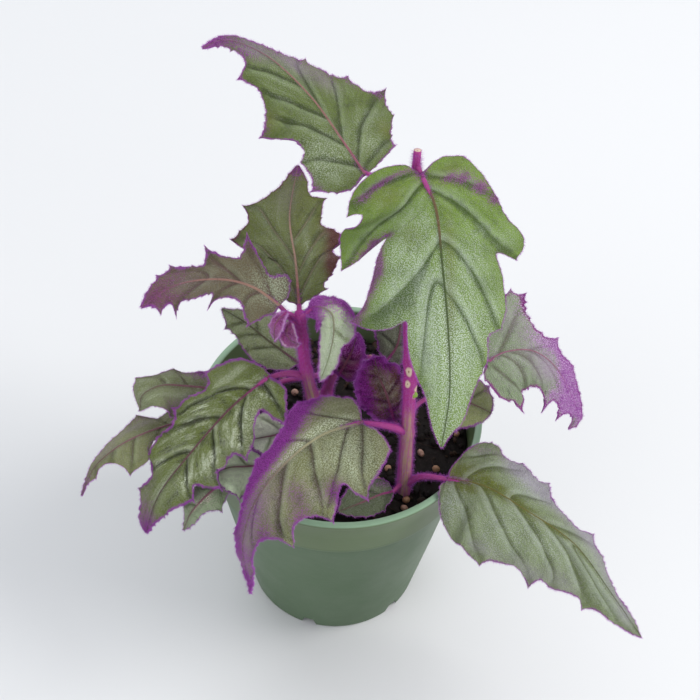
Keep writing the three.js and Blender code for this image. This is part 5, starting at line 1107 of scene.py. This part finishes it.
def leaf_finish(name, look):
    """The upper side's material, by a leaf's own look: green under silvery nap, purple in its purple spots,
    with painted shade, highlight and sheen
    """
    finish, tree, shader = new_finish(name, specular_ior_level=look["gloss"], sheen_weight=look["sheen"],
                                      sheen_roughness=0.35, sheen_tint=(0.86, 0.76, 0.9, 1))
    nap = place_group(tree, velvet, Places=read_mark(tree, "flat", out=1), Size=look["nap_size"])
    veins = place_group(tree, vein_lines, Width=0.0, Softness=0.5)
    rim, out, taper, blush_sheen_shade, pale_and_highlight, warm, lilac_sheen = [
        read_mark(tree, mark) for mark in ("rim", "out", "taper", "blush_sheen_shade", "pale_and_highlight", "warm", "lilac_sheen")]
    dots = ramp(nap["Dots"], 0.1, 0.6)

    def tone(key):
        return paint(*look[key])

    # deep green in the hollows and fresh green on the bulges between the veins, as painted shade and
    # highlight;
    # painted shade along the midrib's valley, past each vein and in painted folds, a painted highlight beside
    # each vein, darker and paler lines
    fresh_share = scaled(veins["Bulge"], 0.35, scaled(nap["Lumps"], 0.7, -0.4))
    fresh_share = scaled(nap["Clouds"], 0.8, fresh_share)
    warm = ramp(warm, 0.0, 1.0)
    valley = times(ramp(out, 1.8, 0.3), 0.8)
    valley = times(math_of("MAXIMUM", veins["Shade"], valley), look["valley"])
    valley = math_of("MAXIMUM", valley, times(veins["Creases"], look["fold_shade"]))
    glow_tone, nap_tone = [paint(*look.get("nap", plain)) for plain in ((168, 184, 146), (184, 196, 170))]
    green = layer(tone("green"), (ramp(fresh_share, 0.3, 0.7), tone("fresh")), (warm, tone("warm_tone")),
                  (valley, tone("vein")), (times(veins["Beside"], look["glow"]), glow_tone))
    # silvery nap, strongest on the bulges and raised in the pale spots, which are mostly painted highlight,
    # and streaks of painted highlight along the veins
    share = times(scaled(dots, 0.85, 0.12), scaled(veins["Bulge"], 0.5, 0.5))
    share = times(share, scaled(warm, -0.6, 1.0))
    silver = times(scaled(pale_and_highlight, look["nap_share"], look["silver"]), share, clamp=True)
    satin_highlight = times(scaled(pale_and_highlight, look["streaks"], look["satin_highlight"]), scaled(dots, 0.8, 0.4))
    satin_highlight = times(satin_highlight, veins["Streaks"], clamp=True)
    # lilac-grey spots are painted sheen, where the blade tilts away from view
    sheened = times(ramp(lilac_sheen, 0.0, 1.2), scaled(dots, 0.3, 0.6))
    green = layer(green, (silver, nap_tone), (satin_highlight, nap_tone), (sheened, tone("lilac_sheen_tone")),
                  (times(veins["Veins"], look["line"]), paint(*look.get("line_tone", look["vein"]))))
    # purple spots, partly the leaf's own purple and partly painted sheen and painted shade, the midrib, and
    # the margin
    broken = scaled(dots, 0.5, math_of("SUBTRACT", blush_sheen_shade, 0.25))
    purple_coat = blend(dots, tone("purple"), tone("lilac"))
    purple_cover = times(ramp(broken, 0.15, 0.95), look["depth"])
    foot, middle, tip = [paint(*colour) for colour in look["rib"]]
    turns = look["rib_turns"]
    rib_tone = blend(ramp(taper, turns[1], turns[0]), middle, foot)
    rib_tone = blend(ramp(taper, turns[3], turns[2]), tip, rib_tone)
    rib = ramp(math_of("SUBTRACT", scaled(taper, look["rib_width"], 0.12), out), -0.16, 0.08)
    wander = scaled(nap["Clouds"], 2.0, scaled(dots, 0.4, -1.2))
    edge = ramp(math_of("ADD", rim, wander), look["rim"], look["rim"] + look["rim_soft"], 1.0, 0.0)
    green = layer(green, (purple_cover, purple_coat), (times(rib, 0.9), rib_tone),
                  (times(edge, 0.9), tone("rim_tone")))
    rough = (nap["Dots"], 0.1, 0.7, look["rough"] + 0.1, look["rough"] - 0.12)
    cover(shader, green, rough, scaled(nap["Lumps"], look["lumps"], nap["Dots"]), 0.85, 0.0003)
    return finish


# Lower side: dull purple with paler raised veins, shared by all the leaves
lower_side, tree, shader = new_finish(
    "leaf underside", specular_ior_level=0.3, sheen_weight=0.4, sheen_roughness=0.4,
    sheen_tint=(0.8, 0.35, 0.85, 1))
nap = place_group(tree, velvet, Places=read_mark(tree, "flat", out=1), Size=1.4)
veins = place_group(tree, vein_lines, Width=0.25, Softness=0.5)
rib = math_of("SUBTRACT", scaled(read_mark(tree, "taper"), 0.7, 0.5), read_mark(tree, "out"))
skin = layer(paint(88, 40, 92), (nap["Clouds"], paint(112, 56, 112)),
             (ramp(nap["Dots"], 0.1, 0.7), paint(132, 84, 134)),
             (times(veins["Veins"], 0.7), paint(150, 70, 142)),
             (times(ramp(rib, -0.3, 0.1), 0.85), paint(166, 72, 140)))
cover(shader, skin, (nap["Dots"], 0.3, 0.7, 0.75, 0.5), nap["Dots"], 0.5, 0.00025)

for number, (name, leaf) in enumerate(LEAVES.items()):
    chance = np.random.default_rng(100 + number)
    look = {**PLAIN_LOOK, **LOOKS[name]}
    leaf["route"] = make_route(leaf["rib"])
    leaf["length"] = length = leaf["route"][1][-1]
    fine, columns = GRIDS.get(name, GRID if length > SMALL_LEAF else SMALL_GRID)
    upper, lower, up, along, sideways, values = shape_blade(leaf, look, fine, columns, chance)
    rows, across = along.shape
    n = rows * across
    top_faces = grid_faces(rows, across)
    index = np.arange(n).reshape(rows, across)
    loop = np.concatenate([index[:, 0], index[-1, 1:], index[-2::-1, -1], index[0, -2:0:-1]])
    following = np.roll(loop, -1)
    rim_faces = np.stack([loop, following, following + n, loop + n], -1)
    # stalk: from the stem to inside the foot of the midrib
    ends = [blade_place(leaf, np.array([at * length]), np.zeros(1)) for at in (0.02, 0.1)]
    stalk = make_route([*leaf["stalk"], *[(point - 0.7 * way)[0] for point, way in ends]])
    stalk_length, stalk_radius = stalk[1][-1], leaf["stalk_radius"]
    distances = np.linspace(0, stalk_length, max(8, int(stalk_length / RING_STEP)))
    radii = stalk_radius + (STALK_END - stalk_radius) * distances / stalk_length
    radii += 0.35 * stalk_radius * np.exp(-(distances / 1.6) ** 2)
    stalk_points, stalk_faces, stalk_out, stalk_flat = tube(stalk, distances, radii, STALK_SIDES)
    spots = {mark: blobs(look[mark], along, sideways) for mark in ("blush_sheen_shade", "pale_and_highlight", "warm", "lilac_sheen")}
    # hairs on the face, more and longer ones in the purple spots
    foot = top_faces[:, 0]
    first_side, other_side = [upper[top_faces[:, k]] - upper[foot] for k in (1, 3)]
    purple_share = np.clip(spots["blush_sheen_shade"].reshape(-1)[foot], 0, 1)
    weights = np.linalg.norm(np.cross(first_side, other_side), axis=1) * (1 + PURPLE_SPOT_HAIRS * purple_share)
    count = int(FACE_HAIRS * weights.sum())
    chosen = chance.choice(len(top_faces), count, p=weights / weights.sum())
    a, b = chance.uniform(0, 1, (2, count, 1))
    foot, first_side, other_side, purple_share = [
        of_face[chosen] for of_face in (foot, first_side, other_side, purple_share)]
    lean = unit(up[foot] + 0.35 * unit(other_side) + chance.normal(0, 0.3, (count, 3)))
    lengths = chance.uniform(0.3, 0.6, count) * (1 + 1.4 * purple_share)
    near_rim = values["rim"].reshape(-1)[foot] < 0.8
    tints = [look["hair"] + 0.85 * purple_share + 0.6 * near_rim + chance.normal(0, 0.1, count)]
    fluff = [hairs(upper[foot] + a * first_side + b * other_side, lean, lengths, chance)]
    # a fringe at the margin
    gaps = np.linalg.norm(upper[following] - upper[loop], axis=1)
    count = int(FRINGE_HAIRS * gaps.sum())
    chosen = chance.choice(len(loop), count, p=gaps / gaps.sum())
    a = chance.uniform(0, 1, (count, 1))
    place = loop[chosen]
    inward = index[np.clip(place // across, 1, rows - 2), np.clip(place % across, 1, across - 2)]
    outward = unit(upper[place] - upper[inward])
    lean = unit(outward * 0.8 + up[place] * chance.normal(0.15, 0.5, (count, 1))
                + chance.normal(0, 0.25, (count, 3)))
    roots = upper[place] * (1 - a) + upper[following[chosen]] * a
    fluff.append(hairs(roots, lean, chance.uniform(0.4, 1.0, count), chance))
    tints.append(chance.normal(0.7, 0.15, count))
    # and a coat on the stalk
    count = int(stalk_length * stalk_radius * STALK_HAIRS)
    chosen = chance.integers(STALK_SIDES, len(stalk_out), count)
    lean = unit(stalk_out[chosen] + chance.normal(0, 0.3, (count, 3)))
    roots = stalk_points[chosen] + chance.normal(0, 0.12, (count, 3))
    fluff.append(hairs(roots, lean, chance.uniform(0.5, 1.4, count), chance))
    tints.append(chance.uniform(0.6, 1.0, count))

    body, fluff = np.concatenate([upper, lower, stalk_points]), np.concatenate(fluff)
    tints = np.repeat(np.clip(np.concatenate(tints), 0, 1), 3)
    faces = [top_faces, top_faces[:, ::-1] + n, rim_faces[:, ::-1], *[part + 2 * n for part in stalk_faces],
             np.arange(len(fluff)).reshape(-1, 3) + len(body)]
    # flat layout: upper side on the left half, lower side on the right, stalk and hairs in strips below
    flat = np.stack([along, sideways, 0 * along], -1).reshape(-1, 3)
    low, high = flat.min(axis=0), flat.max(axis=0)
    spread = (flat - low)[:, :2] / (high - low)[:2]
    top_laid, low_laid = 0.01 + spread * (0.48, 0.74) + (0, 0.24), 0.51 + spread * (0.48, 0.74) + (0, -0.26)
    outer_laid = top_laid + 0.0015 * np.sign(spread - 0.5)
    rim_laid = np.stack([top_laid[loop], top_laid[following], outer_laid[following], outer_laid[loop]], 1)
    stalk_laid = stalk_flat[:, :2] / (stalk_length, STALK_ROUND) * (0.96, 0.1) + (0.02, 0.12)
    laid = [top_laid[top_faces], low_laid[top_faces[:, ::-1]], rim_laid[:, ::-1],
            *[stalk_laid[part] for part in stalk_faces], lay_hairs(tints, 0.01, 0.08)]

    def whole(blade_values, stalk_values=0.0):
        """One value per point: both sides of the blade, the stalk, and nothing on the hairs"""
        both = np.asarray(blade_values).reshape(n, -1)
        rest = np.broadcast_to(stalk_values, (len(stalk_points), both.shape[1]))
        joined = np.concatenate([both, both, rest, np.zeros((len(fluff), both.shape[1]))])
        return joined if both.shape[1] == 3 else joined[:, 0]

    marks = {mark: whole(of_blade) for mark, of_blade in {**values, **spots}.items()}
    marks["flat"], marks["flesh_share"] = whole(flat, stalk_flat), whole(0 * along, look["bare"])
    marks["tint"] = np.concatenate([np.zeros(len(body)), tints])
    marks["reach"] = np.concatenate([np.zeros(len(body)), np.tile(PEAK, len(fluff) // 3)])
    blade = add_piece(
        name + "_blade", np.concatenate([body, fluff]), faces,
        [leaf_finish(name + " velvet", look), lower_side, stem_skin, hair],
        worn=np.repeat([0, 1, 0, 2, 2, 2, 3], [len(part) for part in faces]), marks=marks,
        laid=np.concatenate([part.reshape(-1, 2) for part in laid]))
    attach(blade, "root")
    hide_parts(name)


# Floor, light and camera
# A plain near-white floor in a soft, bright room: one window at the right, and two wide, weaker lights
# from the back of the room and from the front left. The camera looks down from the front, at 48 degrees.
FLOOR_SIDE, FLOOR_PARTS = 8, 8
SKY, SKY_STRENGTH = (0.93, 0.96, 1.0, 1), 0.75
# Lights: place, what they point at, size, power and colour
LIGHTS = {
    "window at the right": ((0.9, -0.1, 1.0), (0, 0, 0.12), 0.7, 10.3, (1.0, 0.985, 0.96)),
    "room behind": ((-0.4, 1.2, 1.1), (0, 0, 0.1), 1.4, 6.5, (0.95, 0.97, 1.0)),
    "room at the left": ((-0.9, -0.7, 0.6), (-0.05, -0.05, 0.03), 0.9, 3.2, (1.0, 1.0, 1.0)),
}
CAMERA_PLACE = Vector((0, -0.33703, 0.50667))
CAMERA_RIGHT, CAMERA_UP = Vector((0.99912, 0.02750, 0.03159)), Vector((-0.04155, 0.74599, 0.66466))

floor, tree, shader = new_finish("floor paper", roughness=0.9, specular_ior_level=0.1)
worked = place_group(tree, grain, Places=wire(tree, "TexCoord", out=3), Cloud=3.0, Speck=500.0)
give(shader.inputs["Base Color"], blend(worked["Clouds"], (0.712, 0.716, 0.728), (0.73, 0.734, 0.744)))
bpy.ops.mesh.primitive_grid_add(x_subdivisions=FLOOR_PARTS, y_subdivisions=FLOOR_PARTS, size=FLOOR_SIDE)
ground = bpy.context.object
ground.name = "floor"
ground.data.materials.append(floor)
ground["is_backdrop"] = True

scene = bpy.context.scene
scene.world = bpy.data.worlds.new("room")
scene.world.use_nodes = True
sky = scene.world.node_tree.nodes["Background"]
give(sky.inputs["Color"], SKY)
give(sky.inputs["Strength"], SKY_STRENGTH)
for name, (place, aim, size, power, colour) in LIGHTS.items():
    light = bpy.data.lights.new(name, "AREA")
    light.shape, light.size, light.energy, light.color = "DISK", size, power, colour
    lamp = bpy.data.objects.new(name, light)
    lamp.location = place
    lamp.rotation_euler = (Vector(aim) - Vector(place)).to_track_quat("-Z", "Y").to_euler()
    scene.collection.objects.link(lamp)

lens = bpy.data.cameras.new("camera")
lens.lens, lens.sensor_width, lens.clip_start = 75, 36, 0.01
camera = bpy.data.objects.new("camera", lens)
facing = Matrix((CAMERA_RIGHT, CAMERA_UP, CAMERA_RIGHT.cross(CAMERA_UP))).transposed().to_4x4()
camera.matrix_world = Matrix.Translation(CAMERA_PLACE) @ facing
scene.collection.objects.link(camera)
scene.camera = camera
scene.view_settings.view_transform = "Standard"

dressed_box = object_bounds()
sizes = {name: [[round(float(c), 5) for c in corner] for corner in box]
         for name, box in (("cad", cad_box), ("dressed", dressed_box))}
